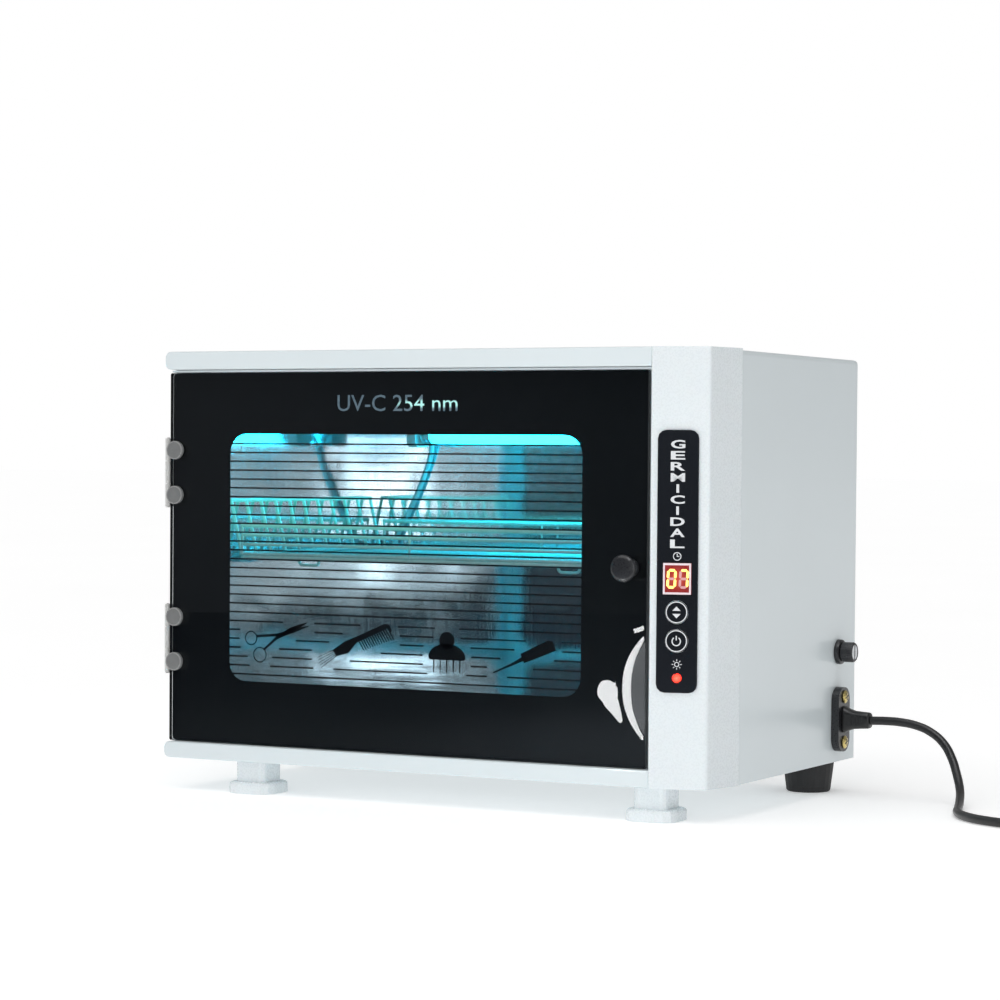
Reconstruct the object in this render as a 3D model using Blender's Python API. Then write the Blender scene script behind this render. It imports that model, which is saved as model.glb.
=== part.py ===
"""UV sterilizer cabinet: a white metal cabinet with a printed glass door, a mirror-polished
chamber with a germicidal tube and a wire basket, a control column, and a mains lead.

Sizes are millimetres in cabinet coordinates: x runs right from the door glass's left edge,
y runs back from the glass's front face, z runs up from the surface the cabinet stands on.
recentre() at the end moves everything so that the origin is under the cabinet's middle.
"""

import math

import bmesh
import bpy
from mathutils import Matrix, Vector

MM = 0.001
GAP = 0.3
SHEET = 1.2

# Door glass and its printed window
GLASS_W, GLASS_T = 340.0, 3.0
GLASS_BOTTOM, GLASS_TOP = 30.8, 267.3
WINDOW_LEFT, WINDOW_RIGHT = 43.8, 295.6
WINDOW_BOTTOM, WINDOW_TOP = 70.9, 228.6
WINDOW_CORNER = 12.0
MASK_FRONT, MASK_T = GLASS_T + GAP, 0.4
DOOR_BACK = MASK_FRONT + MASK_T + GAP

# Cabinet body
BASE_Z, TOP_Z, FRONT_TOP_Z = 20.0, 280.0, 281.0
CASE_LEFT, CASE_RIGHT, CASE_REAR = -1.6, 386.1, 220.2
RAIL_LEFT, RAIL_FRONT, RAIL_BACK = -1.1, -6.0, 6.5
BOTTOM_RAIL_TOP = BASE_Z + 10.4
TOP_RAIL_LOW = FRONT_TOP_Z - 11.6
FRAME_FRONT, FRAME_BACK = 7.0, 8.5

# Control column: the corners of its plan, front left, front right and rear right
COLUMN_A = (345.2, -7.5)
COLUMN_B = (379.2, 1.6)
COLUMN_C = (CASE_RIGHT, 33.5)
COLUMN_WALL = 2.5
COLUMN_LEFT_ROUND, COLUMN_RIGHT_ROUND = 1.0, 3.5
FACE_TURN = math.atan2(COLUMN_B[1] - COLUMN_A[1], COLUMN_B[0] - COLUMN_A[0])

# Membrane panel on the column's face: s runs along the face from the front left corner
PANEL_S0, PANEL_S1, PANEL_Z0, PANEL_Z1 = 4.8, 29.3, 77.2, 231.9
PANEL_CORNER, PANEL_T = 5.0, 1.0
BUTTON_S, BUTTON_R = 16.9, 6.7
SELECT_Z, POWER_Z = 124.7, 107.8
DISPLAY = (8.7, 25.2, 135.3, 153.5)
LED_S, LED_Z, LED_R = 17.2, 85.9, 2.5
BOARD_DEPTH = 4.4

# Chamber: the clear space inside the polished liner
IN_LEFT, IN_RIGHT, IN_FRONT, IN_BACK = 33.0, 308.0, 9.0, 203.0
IN_FLOOR, IN_TOP = 66.0, 248.0
LINER_T = 0.8

# Germicidal tube
LAMP_LEFT, LAMP_RIGHT, LAMP_Y, LAMP_Z, LAMP_R = 85.0, 297.0, 178.0, 231.5, 8.0
LEAD_HOLE = (50.0, 150.0)
LEAD_R = 2.0

# Basket
BASKET_LEFT, BASKET_RIGHT, BASKET_FRONT, BASKET_REAR = 44.0, 297.0, 14.0, 192.0
BASKET_Z, WIRE_R, RIM_R = 149.3, 0.9, 1.4
SIDE_TOP, SIDE_FLARE, SIDE_WIRES = 186.0, 8.0, 11
LOW_WALL_TOP, LOW_WALL_WIRES = 170.0, 4
FOOT_X, FOOT_REACH, FOOT_DROP = (76.0, 265.0), 7.0, 5.4
FOOT_Y = (BASKET_FRONT + 33, BASKET_REAR - 26)
LEDGE_Z = BASKET_Z - RIM_R - GAP - 1.5

# Door hinges
HINGE_X, HINGE_Y, KNUCKLE_R, PIN_R = -5.0, 3.8, 2.0, 0.9
HINGE_H = 44.0
HINGES = {"upper": 181.5, "lower": 74.2}
CAP_X, CAP_R, CAP_INSET = 4.0, 6.0, 7.6

# Knob, magnet and strike
KNOB_X, KNOB_Z, KNOB_R, KNOB_REACH = 330.0, 150.0, 8.3, 14.6

# Fuse holder and mains inlet on the right side
FUSE_Y, FUSE_Z, FUSE_FLANGE_R, FUSE_CAP_R = 191.0, 91.5, 8.0, 6.5
FUSE_FACE = CASE_RIGHT + GAP + 3.0
FUSE_END = 398.0
INLET_Y, INLET_Z, INLET_H, INLET_W, INLET_T = 189.6, 48.2, 41.4, 19.0, 5.0
INLET_ROUND, SCREW_RISE, SCREW_R = 8.5, 14.6, 4.3
INLET_FACE = CASE_RIGHT + GAP + INLET_T
NOSE_H, NOSE_W, NOSE_DEPTH = 12.0, 8.0, 11.5

# Feet
FRONT_FEET_X = (62.7, 344.0)
FRONT_FOOT_Y = 8.0
REAR_FEET_X = (25.0, 364.0)
REAR_FOOT_Y = 197.0
FOOT_TOP = BASE_Z - GAP

# Mains lead
CORD_R = 2.75
GRIP_END = 409.5
COIL_X, COIL_Y, COIL_MID = 575.0, 118.0, 33.0
COIL_TURNS_WIDE, COIL_TURNS_HIGH = 3, 2
COIL_OUT = COIL_MID + COIL_TURNS_WIDE * CORD_R
LEAD_END_Y = COIL_Y - COIL_OUT - GAP - CORD_R
CORD_ROUTE = [
    (GRIP_END + GAP, INLET_Y, INLET_Z),
    (420, INLET_Y, 48.5),
    (430, 189.3, 48.2),
    (441.5, 188.6, 46.5),
    (451.5, 187.6, 42.8),
    (460.3, 186.0, 36.4),
    (466.8, 183.0, 27.8),
    (472.0, 177.8, 18.6),
    (477.6, 168.2, 10.2),
    (483.2, 152.0, 4.6),
    (488.8, 133.5, CORD_R),
    (495.5, 113.5, CORD_R),
    (507.0, 96.0, CORD_R),
    (525.0, 82.5, CORD_R),
    (548.0, 75.3, CORD_R),
    (COIL_X - 2, LEAD_END_Y, CORD_R),
]
PLUG_X = COIL_X + COIL_OUT + GAP + CORD_R
PLUG_Z = 7.0

# The cabinet's extent without the lead, which sets the origin
ORIGIN_X = (HINGE_X - KNUCKLE_R + FUSE_END) / 2
ORIGIN_Y = (CASE_REAR - KNOB_REACH) / 2

MATERIALS = {
    "white_paint": ((0.80, 0.82, 0.83), 0.0, 0.35),
    "white_plastic": ((0.82, 0.84, 0.86), 0.0, 0.3),
    "polished_steel": ((0.75, 0.76, 0.78), 1.0, 0.12),
    "chrome": ((0.8, 0.8, 0.82), 1.0, 0.08),
    "smoked_glass": ((0.03, 0.04, 0.05), 0.0, 0.03),
    "black_print": ((0.012, 0.014, 0.018), 0.0, 0.4),
    "black_plastic": ((0.02, 0.02, 0.022), 0.0, 0.4),
    "black_rubber": ((0.015, 0.015, 0.015), 0.0, 0.8),
    "panel_film": ((0.02, 0.022, 0.026), 0.0, 0.25),
    "display": ((0.55, 0.05, 0.02), 0.0, 0.3),
    "red_led": ((0.8, 0.05, 0.02), 0.0, 0.2),
    "circuit_board": ((0.04, 0.22, 0.08), 0.0, 0.5),
    "lamp_glass": ((0.45, 0.9, 1.0), 0.0, 0.1),
    "lamp_holder": ((0.85, 0.85, 0.82), 0.0, 0.45),
    "lead_sleeve": ((0.75, 0.78, 0.8), 0.0, 0.5),
    "brass": ((0.78, 0.6, 0.28), 1.0, 0.3),
    "magnet": ((0.09, 0.08, 0.08), 0.0, 0.6),
    "fuse_glass": ((0.8, 0.85, 0.85), 0.0, 0.08),
    "cord_jacket": ((0.015, 0.015, 0.016), 0.0, 0.5),
}


def material(name):
    """The named Principled material, made on first use."""
    if name in bpy.data.materials:
        return bpy.data.materials[name]
    colour, metallic, roughness = MATERIALS[name]
    made = bpy.data.materials.new(name)
    made.use_nodes = True
    shader = made.node_tree.nodes["Principled BSDF"]
    shader.inputs["Base Color"].default_value = (*colour, 1.0)
    shader.inputs["Metallic"].default_value = metallic
    shader.inputs["Roughness"].default_value = roughness
    made.diffuse_color = (*colour, 1.0)
    return made


def solid(name, points, faces, look):
    """An object from millimetre points and faces, its normals turned outwards."""
    mesh = bpy.data.meshes.new(name)
    mesh.from_pydata([Vector(point) * MM for point in points], [], faces)
    work = bmesh.new()
    work.from_mesh(mesh)
    bmesh.ops.recalc_face_normals(work, faces=work.faces)
    work.to_mesh(mesh)
    work.free()
    made = bpy.data.objects.new(name, mesh)
    bpy.context.scene.collection.objects.link(made)
    mesh.materials.append(material(look))
    return made


def prism(name, outline, low, high, look, along="Z"):
    """A closed outline extruded from low to high. The outline is (x, y) along Z,
    (x, z) along Y, and (y, z) along X."""

    def place(a, b, level):
        return {"Z": (a, b, level), "Y": (a, level, b), "X": (level, a, b)}[along]

    count = len(outline)
    points = [place(a, b, low) for a, b in outline]
    points += [place(a, b, high) for a, b in outline]
    faces = [tuple(range(count)), tuple(range(count, 2 * count))]
    for i in range(count):
        after = (i + 1) % count
        faces.append((i, after, count + after, count + i))
    return solid(name, points, faces, look)


def box(name, low, high, look):
    """A box between two opposite corners."""
    outline = [(low[0], low[1]), (high[0], low[1]), (high[0], high[1]), (low[0], high[1])]
    return prism(name, outline, low[2], high[2], look)


def rounded(left, low, right, high, radius, steps=3):
    """A rectangle's outline with round corners."""
    corners = [
        (right - radius, low + radius, -90),
        (right - radius, high - radius, 0),
        (left + radius, high - radius, 90),
        (left + radius, low + radius, 180),
    ]
    outline = []
    for x, y, start in corners:
        for step in range(steps + 1):
            turn = math.radians(start + 90 * step / steps)
            outline.append((x + radius * math.cos(turn), y + radius * math.sin(turn)))
    return outline


def circle(x, y, radius, sides):
    """A round outline."""
    turns = [2 * math.pi * (i + 0.5) / sides for i in range(sides)]
    return [(x + radius * math.cos(turn), y + radius * math.sin(turn)) for turn in turns]


def turned(name, profile, centre, along, look, sides=16):
    """A solid turned from a profile of (distance along the axis, radius), ends closed."""
    axis, u, v = {"X": (0, 1, 2), "Y": (1, 0, 2), "Z": (2, 0, 1)}[along]
    points = []
    for distance, radius in profile:
        for i in range(sides):
            turn = 2 * math.pi * (i + 0.5) / sides
            point = list(centre)
            point[axis] += distance
            point[u] += radius * math.cos(turn)
            point[v] += radius * math.sin(turn)
            points.append(point)
    faces = []
    for ring in range(len(profile) - 1):
        for i in range(sides):
            after = (i + 1) % sides
            a, b = ring * sides + i, ring * sides + after
            faces.append((a, b, b + sides, a + sides))
    faces.append(tuple(range(sides)))
    faces.append(tuple(range(len(points) - sides, len(points))))
    made = solid(name, points, faces, look)
    smooth(made)
    return made


def bar(name, start, end, radius, look, sides=6):
    """A straight round wire between two points."""
    start, end = Vector(start), Vector(end)
    turn = (end - start).to_track_quat("Z", "Y").to_matrix()
    points = []
    for middle in (start, end):
        for i in range(sides):
            angle = 2 * math.pi * (i + 0.5) / sides
            points.append(middle + turn @ Vector((math.cos(angle), math.sin(angle), 0)) * radius)
    faces = [tuple(range(sides)), tuple(range(sides, 2 * sides))]
    for i in range(sides):
        after = (i + 1) % sides
        faces.append((i, after, sides + after, sides + i))
    return solid(name, points, faces, look)


def combine(target, operation, others):
    """Unites the others with the target, or cuts them from it, and removes them."""
    for other in others:
        change = target.modifiers.new("combine", "BOOLEAN")
        change.operation = operation
        change.solver = "EXACT"
        change.object = other
        bpy.context.view_layer.update()
        graph = bpy.context.evaluated_depsgraph_get()
        mesh = bpy.data.meshes.new_from_object(target.evaluated_get(graph))
        target.modifiers.clear()
        target.data = mesh
        bpy.data.objects.remove(other)
    return target


def unite(target, *others):
    return combine(target, "UNION", others)


def cut(target, *others):
    return combine(target, "DIFFERENCE", others)


def smooth(target, angle=40):
    """Shades round faces smooth and keeps the corners sharp."""
    target.data.polygons.foreach_set("use_smooth", [True] * len(target.data.polygons))
    target.data.set_sharp_from_angle(angle=math.radians(angle))


def set_axis(target, point):
    """Moves an object's origin to a point in cabinet coordinates, the shape staying put."""
    point = Vector(point) * MM
    target.data.transform(Matrix.Translation(-point))
    target.location = point


def hang(children, parent):
    """Parents pieces whose shape is in cabinet coordinates to a placed parent."""
    for child in children:
        child.parent = parent
        child.matrix_parent_inverse = Matrix.Translation(-parent.location)


def empty(name, point, turn=0.0):
    made = bpy.data.objects.new(name, None)
    made.location = Vector(point) * MM
    made.rotation_euler.z = turn
    bpy.context.scene.collection.objects.link(made)
    return made


# ---------------------------------------------------------------- cabinet body


def case_shell():
    """One sheet bent over the top and down both sides, notched round the control column."""
    front, corner = RAIL_BACK + GAP, 3.0
    outer = rounded(CASE_LEFT, 0, CASE_RIGHT, TOP_Z, corner)
    inner = rounded(CASE_LEFT + SHEET, -9, CASE_RIGHT - SHEET, TOP_Z - SHEET, corner - SHEET)
    shell = prism("case_shell", outer, front, CASE_REAR, "white_paint", "Y")
    hollow = prism("hollow", inner, front - 9, CASE_REAR + 9, "white_paint", "Y")
    below = box("below", (-9, -9, -9), (CASE_RIGHT + 9, CASE_REAR + 9, BASE_Z + 0.6), "white_paint")
    notch = box(
        "notch",
        (COLUMN_A[0] - GAP, front - 9, 0),
        (CASE_RIGHT + 9, COLUMN_C[1] + GAP, TOP_Z + 9),
        "white_paint",
    )
    fuse_hole = prism(
        "fuse_hole", circle(FUSE_Y, FUSE_Z, 6.2, 12), CASE_RIGHT - 5, CASE_RIGHT + 5, "white_paint", "X"
    )
    inlet_hole = box(
        "inlet_hole",
        (CASE_RIGHT - 5, INLET_Y - 6.6, INLET_Z - 9.4),
        (CASE_RIGHT + 5, INLET_Y + 6.6, INLET_Z + 9.4),
        "white_paint",
    )
    cut(shell, hollow, below, notch, fuse_hole, inlet_hole)
    smooth(shell)


def base_plate():
    """The bottom sheet, notched round the control column."""
    left, right, front, rear = 1, 384, RAIL_BACK + GAP, 218
    notch_x, notch_y = COLUMN_A[0] - GAP, COLUMN_C[1] + GAP
    outline = [(left, front), (notch_x, front), (notch_x, notch_y), (right, notch_y)]
    outline += [(right, rear), (left, rear)]
    prism("base_plate", outline, BASE_Z, BASE_Z + 1.4, "white_paint")


def rear_panel():
    """The back sheet, with two stacks of vent slots behind the ballast and the lamp."""
    inside = SHEET + GAP
    back = box(
        "rear_panel",
        (CASE_LEFT + inside, 217.4, BASE_Z + 2),
        (CASE_RIGHT - inside, 218.6, TOP_Z - inside - 0.8),
        "white_paint",
    )
    slots = []
    for left in (50, 300):
        for row in range(5):
            low = 190 + row * 9
            slots.append(box("slot", (left, 210, low), (left + 46, 225, low + 3.2), "white_paint"))
    cut(back, *slots)


def front_frame():
    """The white frame behind the door, round the chamber's mouth, with a lip over the glass."""
    left, right = CASE_LEFT + SHEET + GAP, COLUMN_A[0] - GAP
    low, high = BOTTOM_RAIL_TOP + GAP, TOP_RAIL_LOW - GAP
    frame = box("front_frame", (left, FRAME_FRONT, low), (right, FRAME_BACK, high), "white_paint")
    lip = box("lip", (left, 1.0, GLASS_TOP + 0.5), (right, FRAME_BACK - 0.5, high), "white_paint")
    unite(frame, lip)
    mouth = box(
        "mouth",
        (IN_LEFT - 1.5, 0, IN_FLOOR - 1.5),
        (IN_RIGHT + 1.5, 20, IN_TOP + 1.5),
        "white_paint",
    )
    magnet_slot = box("magnet_slot", (319.5, 0, 139.5), (336.5, 20, 160.5), "white_paint")
    cut(frame, mouth, magnet_slot)


def rail(name, low, high):
    """A rail across the front, its left end rounded and its front edges softened."""
    outline = rounded(RAIL_LEFT, low, COLUMN_A[0] + 6, high, 3.6)
    made = prism(name, outline, RAIL_FRONT, RAIL_BACK, "white_paint", "Y")
    end = box("end", (COLUMN_A[0] - GAP, -20, 0), (COLUMN_A[0] + 20, 20, 300), "white_paint")
    cut(made, end)
    soften(made, 1.0, lambda edge: on_plane(edge, 1, RAIL_FRONT))
    smooth(made)


def on_plane(edge, axis, level):
    return all(abs(vert.co[axis] - level * MM) < 1e-5 for vert in edge.verts)


def soften(target, width, chosen, segments=2):
    """Bevels the sharp edges that chosen() picks."""
    work = bmesh.new()
    work.from_mesh(target.data)
    edges = [e for e in work.edges if chosen(e) and e.calc_face_angle(0) > 0.6]
    bmesh.ops.bevel(
        work, geom=edges, offset=width * MM, segments=segments, profile=0.5, affect="EDGES"
    )
    work.to_mesh(target.data)
    work.free()


def corner_arc(before, corner, after, radius, steps=3):
    """Points round a plan corner."""
    before, corner, after = Vector(before), Vector(corner), Vector(after)
    back, ahead = (before - corner).normalized(), (after - corner).normalized()
    half = back.angle(ahead) / 2
    reach = radius / math.tan(half)
    middle = corner + (back + ahead).normalized() * radius / math.sin(half)
    start, end = corner + back * reach - middle, corner + ahead * reach - middle
    return [middle + start.slerp(end, i / steps) * radius for i in range(steps + 1)]


def in_face_frame(point):
    """A plan point as (along the column's face, back from it)."""
    away = Matrix.Rotation(-FACE_TURN, 2) @ (Vector(point) - Vector(COLUMN_A))
    return round(away.x, 3), round(away.y, 3)


def column_outline(inset):
    """The column's plan in its face's frame, set in by a wall's thickness; a set-in plan runs
    out past the open rear."""
    rear_right = Vector(in_face_frame(COLUMN_C))
    rear_left = Vector(in_face_frame((COLUMN_A[0], COLUMN_C[1])))
    front_right = Vector(in_face_frame(COLUMN_B))
    left_wall, right_wall = rear_left.normalized(), (rear_right - front_right).normalized()
    across_left = inset / left_wall.y * (1 + left_wall.x)
    across_right = inset / right_wall.y * (1 - right_wall.x)
    past = 12 if inset else 0
    corners = [
        rear_left + Vector((inset / left_wall.y, 0)) + left_wall * past,
        Vector((across_left, inset)),
        Vector((front_right.x - across_right, inset)),
        rear_right - Vector((inset / right_wall.y, 0)) + right_wall * past,
    ]
    outline = [tuple(corners[0])]
    for first, radius in ((0, COLUMN_LEFT_ROUND), (1, COLUMN_RIGHT_ROUND)):
        soft = max(radius - inset, 0.8)
        outline += [tuple(point) for point in corner_arc(*corners[first : first + 3], soft)]
    return outline + [tuple(corners[3])]


def control_column(face):
    """The white moulded column, hollow and open at the back, bored for lamp, display, buttons."""
    column = prism("control_column", column_outline(0), BASE_Z, FRONT_TOP_Z, "white_plastic")
    hollow = prism(
        "hollow", column_outline(COLUMN_WALL), BASE_Z + COLUMN_WALL, FRONT_TOP_Z - COLUMN_WALL, "white_plastic"
    )
    s0, s1, z0, z1 = DISPLAY
    cutters = [box("cutter", (s0 - 0.4, -9, z0 - 0.4), (s1 + 0.4, 9, z1 + 0.4), "white_plastic")]
    for s, z, radius in (
        (BUTTON_S, SELECT_Z, 2.1),
        (BUTTON_S, POWER_Z, 2.1),
        (LED_S, LED_Z, LED_R + 0.4),
    ):
        cutters.append(prism("cutter", circle(s, z, radius, 12), -9, 9, "white_plastic", "Y"))
    cut(column, hollow, *cutters)
    smooth(column)
    column.parent = face


# ---------------------------------------------------------------- control panel


def control_panel(face):
    """The membrane panel and what shows through it, in the frame of the column's sloping face:
    x along the face, -y out of it."""
    outline = rounded(PANEL_S0, PANEL_Z0, PANEL_S1, PANEL_Z1, PANEL_CORNER)
    film = prism("membrane_panel", outline, -GAP - PANEL_T, -GAP, "panel_film", "Y")
    s0, s1, z0, z1 = DISPLAY
    openings = [box("opening", (s0 - 0.3, -9, z0 - 0.3), (s1 + 0.3, 9, z1 + 0.3), "panel_film")]
    for s, z, radius in (
        (BUTTON_S, SELECT_Z, BUTTON_R + 0.4),
        (BUTTON_S, POWER_Z, BUTTON_R + 0.4),
        (LED_S, LED_Z, LED_R + 0.4),
    ):
        openings.append(prism("opening", circle(s, z, radius, 20), -9, 9, "panel_film", "Y"))
    cut(film, *openings)
    window = box("display_window", (s0, -1.6, z0), (s1, BOARD_DEPTH - GAP, z1), "display")
    dome = [(-1.9, 0.8), (-1.6, 1.8), (-0.9, LED_R), (BOARD_DEPTH - GAP, LED_R)]
    led = turned("power_led", dome, (LED_S, 0, LED_Z), "Y", "red_led", 12)
    board = box("control_board", (8, BOARD_DEPTH, 80), (26, BOARD_DEPTH + 1.6, 160), "circuit_board")
    pieces = [film, window, led, board]
    for name, z in (("select_button", SELECT_Z), ("power_button", POWER_Z)):
        shape = [(-1.9, BUTTON_R - 0.4), (-1.6, BUTTON_R), (-1.0, BUTTON_R), (-1.0, 1.6), (3.2, 1.6)]
        button = turned(name, shape, (0, 0, 0), "Y", "panel_film", 20)
        button.location = Vector((BUTTON_S, 0, z)) * MM
        pieces.append(button)
    for piece in pieces:
        piece.parent = face


# ---------------------------------------------------------------- chamber


def liner():
    """The mirror-polished box, open at the front, with a hole for the lamp's lead."""
    shell = box(
        "liner",
        (IN_LEFT - LINER_T, IN_FRONT, IN_FLOOR - LINER_T),
        (IN_RIGHT + LINER_T, IN_BACK + LINER_T, IN_TOP + LINER_T),
        "polished_steel",
    )
    inside = box(
        "inside", (IN_LEFT, 0, IN_FLOOR), (IN_RIGHT, IN_BACK, IN_TOP), "polished_steel"
    )
    hole = prism("hole", circle(*LEAD_HOLE, LEAD_R + 1.6, 10), IN_BACK - 5, IN_BACK + 5, "polished_steel", "Y")
    cut(shell, inside, hole)


def lamp():
    """The tube between its two end holders, under a folded reflector."""
    cap = LAMP_R - 0.3
    profile = [
        (LAMP_LEFT, 6.0),
        (LAMP_LEFT + 0.8, cap),
        (LAMP_LEFT + 7, LAMP_R),
        (LAMP_RIGHT - 7, LAMP_R),
        (LAMP_RIGHT - 0.8, cap),
        (LAMP_RIGHT, 6.0),
    ]
    turned("uv_lamp", profile, (0, LAMP_Y, LAMP_Z), "X", "lamp_glass", 16)
    for name, x in (("lamp_holder_left", LAMP_LEFT - GAP - 7), ("lamp_holder_right", LAMP_RIGHT + GAP)):
        outline = rounded(LAMP_Y - 10, LAMP_Z - 10, LAMP_Y + 10, IN_TOP - GAP, 4, 2)
        prism(name, outline, x, x + 7, "lamp_holder", "X")
    outline = [
        (LAMP_Y - 16, 240.6),
        (LAMP_Y - 7, IN_TOP - 1.0),
        (LAMP_Y + 7, IN_TOP - 1.0),
        (LAMP_Y + 16, 240.6),
        (LAMP_Y + 16, 241.4),
        (LAMP_Y + 7.3, IN_TOP - GAP),
        (LAMP_Y - 7.3, IN_TOP - GAP),
        (LAMP_Y - 16, 241.4),
    ]
    prism("reflector", outline, LAMP_LEFT + 1, LAMP_RIGHT - 1, "polished_steel", "X")


def lamp_lead():
    """The sleeved lead from behind the left holder, down along the back wall and out of its hole."""
    x, z = LEAD_HOLE
    wall = IN_BACK - LEAD_R - GAP
    route = [
        (LAMP_LEFT - 4, LAMP_Y + 10 + 3 * GAP, LAMP_Z),
        (LAMP_LEFT - 4.3, 194, LAMP_Z - 2.5),
        (LAMP_LEFT - 5, 199, LAMP_Z - 9),
        (LAMP_LEFT - 8, wall, LAMP_Z - 20),
        (68, wall, 190),
        (58, wall, 171),
        (x + 2, wall - 0.9, z + 9.5),
        (x + 0.3, IN_BACK - 3, z + 3),
        (x, IN_BACK + 1.5, z + 0.3),
        (x, IN_BACK + 10, z),
    ]
    tube("lamp_lead", smooth_route(route, 5), LEAD_R, "lead_sleeve")


def ledges():
    """The two angle strips that the basket's bottom frame rests on."""
    for name, wall, side in (("basket_ledge_left", IN_LEFT, 1), ("basket_ledge_right", IN_RIGHT, -1)):
        shape = [(0.3, 0), (14.5, 0), (14.5, 1.5), (1.8, 1.5), (1.8, 10), (0.3, 10)]
        outline = [(wall + side * x, LEDGE_Z + z) for x, z in shape]
        prism(name, outline, 20, 196, "polished_steel", "Y")


def ballast():
    made = box("ballast", (322, 60, BASE_Z + 1.4 + GAP), (372, 170, 54), "white_paint")
    soften(made, 2.0, lambda edge: True, 1)


# ---------------------------------------------------------------- basket


def basket_bottom():
    """The bottom frame with its cross wires, two stays and four bent feet."""
    left, right, front, rear, z = BASKET_LEFT, BASKET_RIGHT, BASKET_FRONT, BASKET_REAR, BASKET_Z
    look = "chrome"
    outside = rounded(left - RIM_R, front - RIM_R, right + RIM_R, rear + RIM_R, 6, 2)
    inside = rounded(left + RIM_R, front + RIM_R, right - RIM_R, rear - RIM_R, 4, 2)
    frame = prism("basket_bottom", outside, z - RIM_R, z + RIM_R, look)
    cut(frame, prism("inner", inside, z - 9, z + 9, look))
    wires = []
    for i in range(1, 12):
        y = front + (rear - front) * i / 12
        wires.append(bar("wire", (left, y, z), (right, y, z), WIRE_R, look, 4))
    for x in (left + 84, right - 84):
        wires.append(box("stay", (x - 1, front, z - 1.2), (x + 1, rear, z + 1.2), look))
    for x in FOOT_X:
        for y in FOOT_Y:
            wires += basket_foot(x, y)
    return unite(frame, *wires)


def basket_foot(x, y):
    """A wire foot bent like a staple, with a tie to the cross wires on each side of it."""
    z, low, half = BASKET_Z, BASKET_Z - FOOT_DROP, WIRE_R
    pieces = [box("base", (x - FOOT_REACH, y - half, low - half), (x + FOOT_REACH, y + half, low + half), "chrome")]
    for leg in (x - FOOT_REACH + 0.5, x + FOOT_REACH - 0.5):
        pieces.append(box("leg", (leg - half, y - half, low), (leg + half, y + half, z), "chrome"))
    pieces.append(box("tie", (x - 8, y - 0.7, z - 0.7), (x + 8, y + 0.7, z + 0.7), "chrome"))
    pieces.append(box("stub", (x - 1, y - 10, z - 0.6), (x + 1, y + 10, z + 0.6), "chrome"))
    return pieces


def low_wall(name, y):
    """The basket's low front or rear wall: level wires, one above another, on end posts."""
    low, look = BASKET_Z + RIM_R + GAP, "chrome"
    left, right = BASKET_LEFT + 1.6, BASKET_RIGHT - 1.6
    wall = box(name, (left, y - 1.4, LOW_WALL_TOP - 1.4), (right, y + 1.4, LOW_WALL_TOP + 1.4), look)
    parts = []
    for i in range(LOW_WALL_WIRES - 1):
        z = low + 0.8 + (LOW_WALL_TOP - low - 0.8) * i / (LOW_WALL_WIRES - 1)
        parts.append(box("level", (left, y - 0.8, z - 0.8), (right, y + 0.8, z + 0.8), look))
    for x in (left + 1, (left + right) / 2, right - 1):
        parts.append(box("post", (x - 0.9, y - 0.7, low + 0.4), (x + 0.9, y + 0.7, LOW_WALL_TOP), look))
    return unite(wall, *parts)


def side_wall(name, x, side):
    """A tall side of close wires that leans outwards, with a level wire at foot and top."""
    low = BASKET_Z + RIM_R + GAP + 0.9
    front, rear, look = BASKET_FRONT + 1.2, BASKET_REAR - 1.2, "chrome"
    top_x = x + side * SIDE_FLARE
    wall = bar(name, (x, front, low), (x, rear, low), WIRE_R + 0.1, look, 6)
    parts = [bar("rim", (top_x, front, SIDE_TOP), (top_x, rear, SIDE_TOP), WIRE_R + 0.1, look, 6)]
    for i in range(SIDE_WIRES):
        y = front + 1.2 + (rear - front - 2.4) * i / (SIDE_WIRES - 1)
        parts.append(bar("wire", (x, y, low), (top_x, y, SIDE_TOP), WIRE_R - 0.1, look, 4))
    return unite(wall, *parts)


def basket():
    pieces = [
        basket_bottom(),
        low_wall("basket_front", BASKET_FRONT),
        low_wall("basket_rear", BASKET_REAR),
        side_wall("basket_left", BASKET_LEFT, -1),
        side_wall("basket_right", BASKET_RIGHT, 1),
    ]
    lift = empty("basket_lift", ((BASKET_LEFT + BASKET_RIGHT) / 2, (BASKET_FRONT + BASKET_REAR) / 2, BASKET_Z))
    hang(pieces, lift)
    return lift


# ---------------------------------------------------------------- door


def cap_heights():
    """Where each hinge's two glass clamps sit, with the piece name's ending."""
    heights = {}
    for name, low in HINGES.items():
        heights[name + "_top"] = low + HINGE_H - CAP_INSET
        heights[name + "_bottom"] = low + CAP_INSET
    return heights


def door_glass():
    """The door's glass, bored for the clamp studs and the knob's stud."""
    outline = rounded(0, GLASS_BOTTOM, GLASS_W, GLASS_TOP, 2, 2)
    glass = prism("door_glass", outline, 0, GLASS_T, "smoked_glass", "Y")
    bores = [(CAP_X, z) for z in cap_heights().values()] + [(KNOB_X, KNOB_Z)]
    cut(glass, *[prism("bore", circle(x, z, 2.2, 8), -9, 9, "smoked_glass", "Y") for x, z in bores])
    return glass


def door_mask():
    """The black print behind the glass, with the round-cornered window left clear."""
    outline = rounded(0.1, GLASS_BOTTOM + 0.1, GLASS_W - 0.1, GLASS_TOP - 0.1, 2, 2)
    mask = prism("door_mask", outline, MASK_FRONT, MASK_FRONT + MASK_T, "black_print", "Y")
    window = rounded(WINDOW_LEFT, WINDOW_BOTTOM, WINDOW_RIGHT, WINDOW_TOP, WINDOW_CORNER, 5)
    cut(mask, prism("window", window, -9, 19, "black_print", "Y"))
    bores = [(CAP_X, z) for z in cap_heights().values()] + [(KNOB_X, KNOB_Z)]
    cut(mask, *[prism("bore", circle(x, z, 2.2, 8), -9, 19, "black_print", "Y") for x, z in bores])
    return mask


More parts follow.
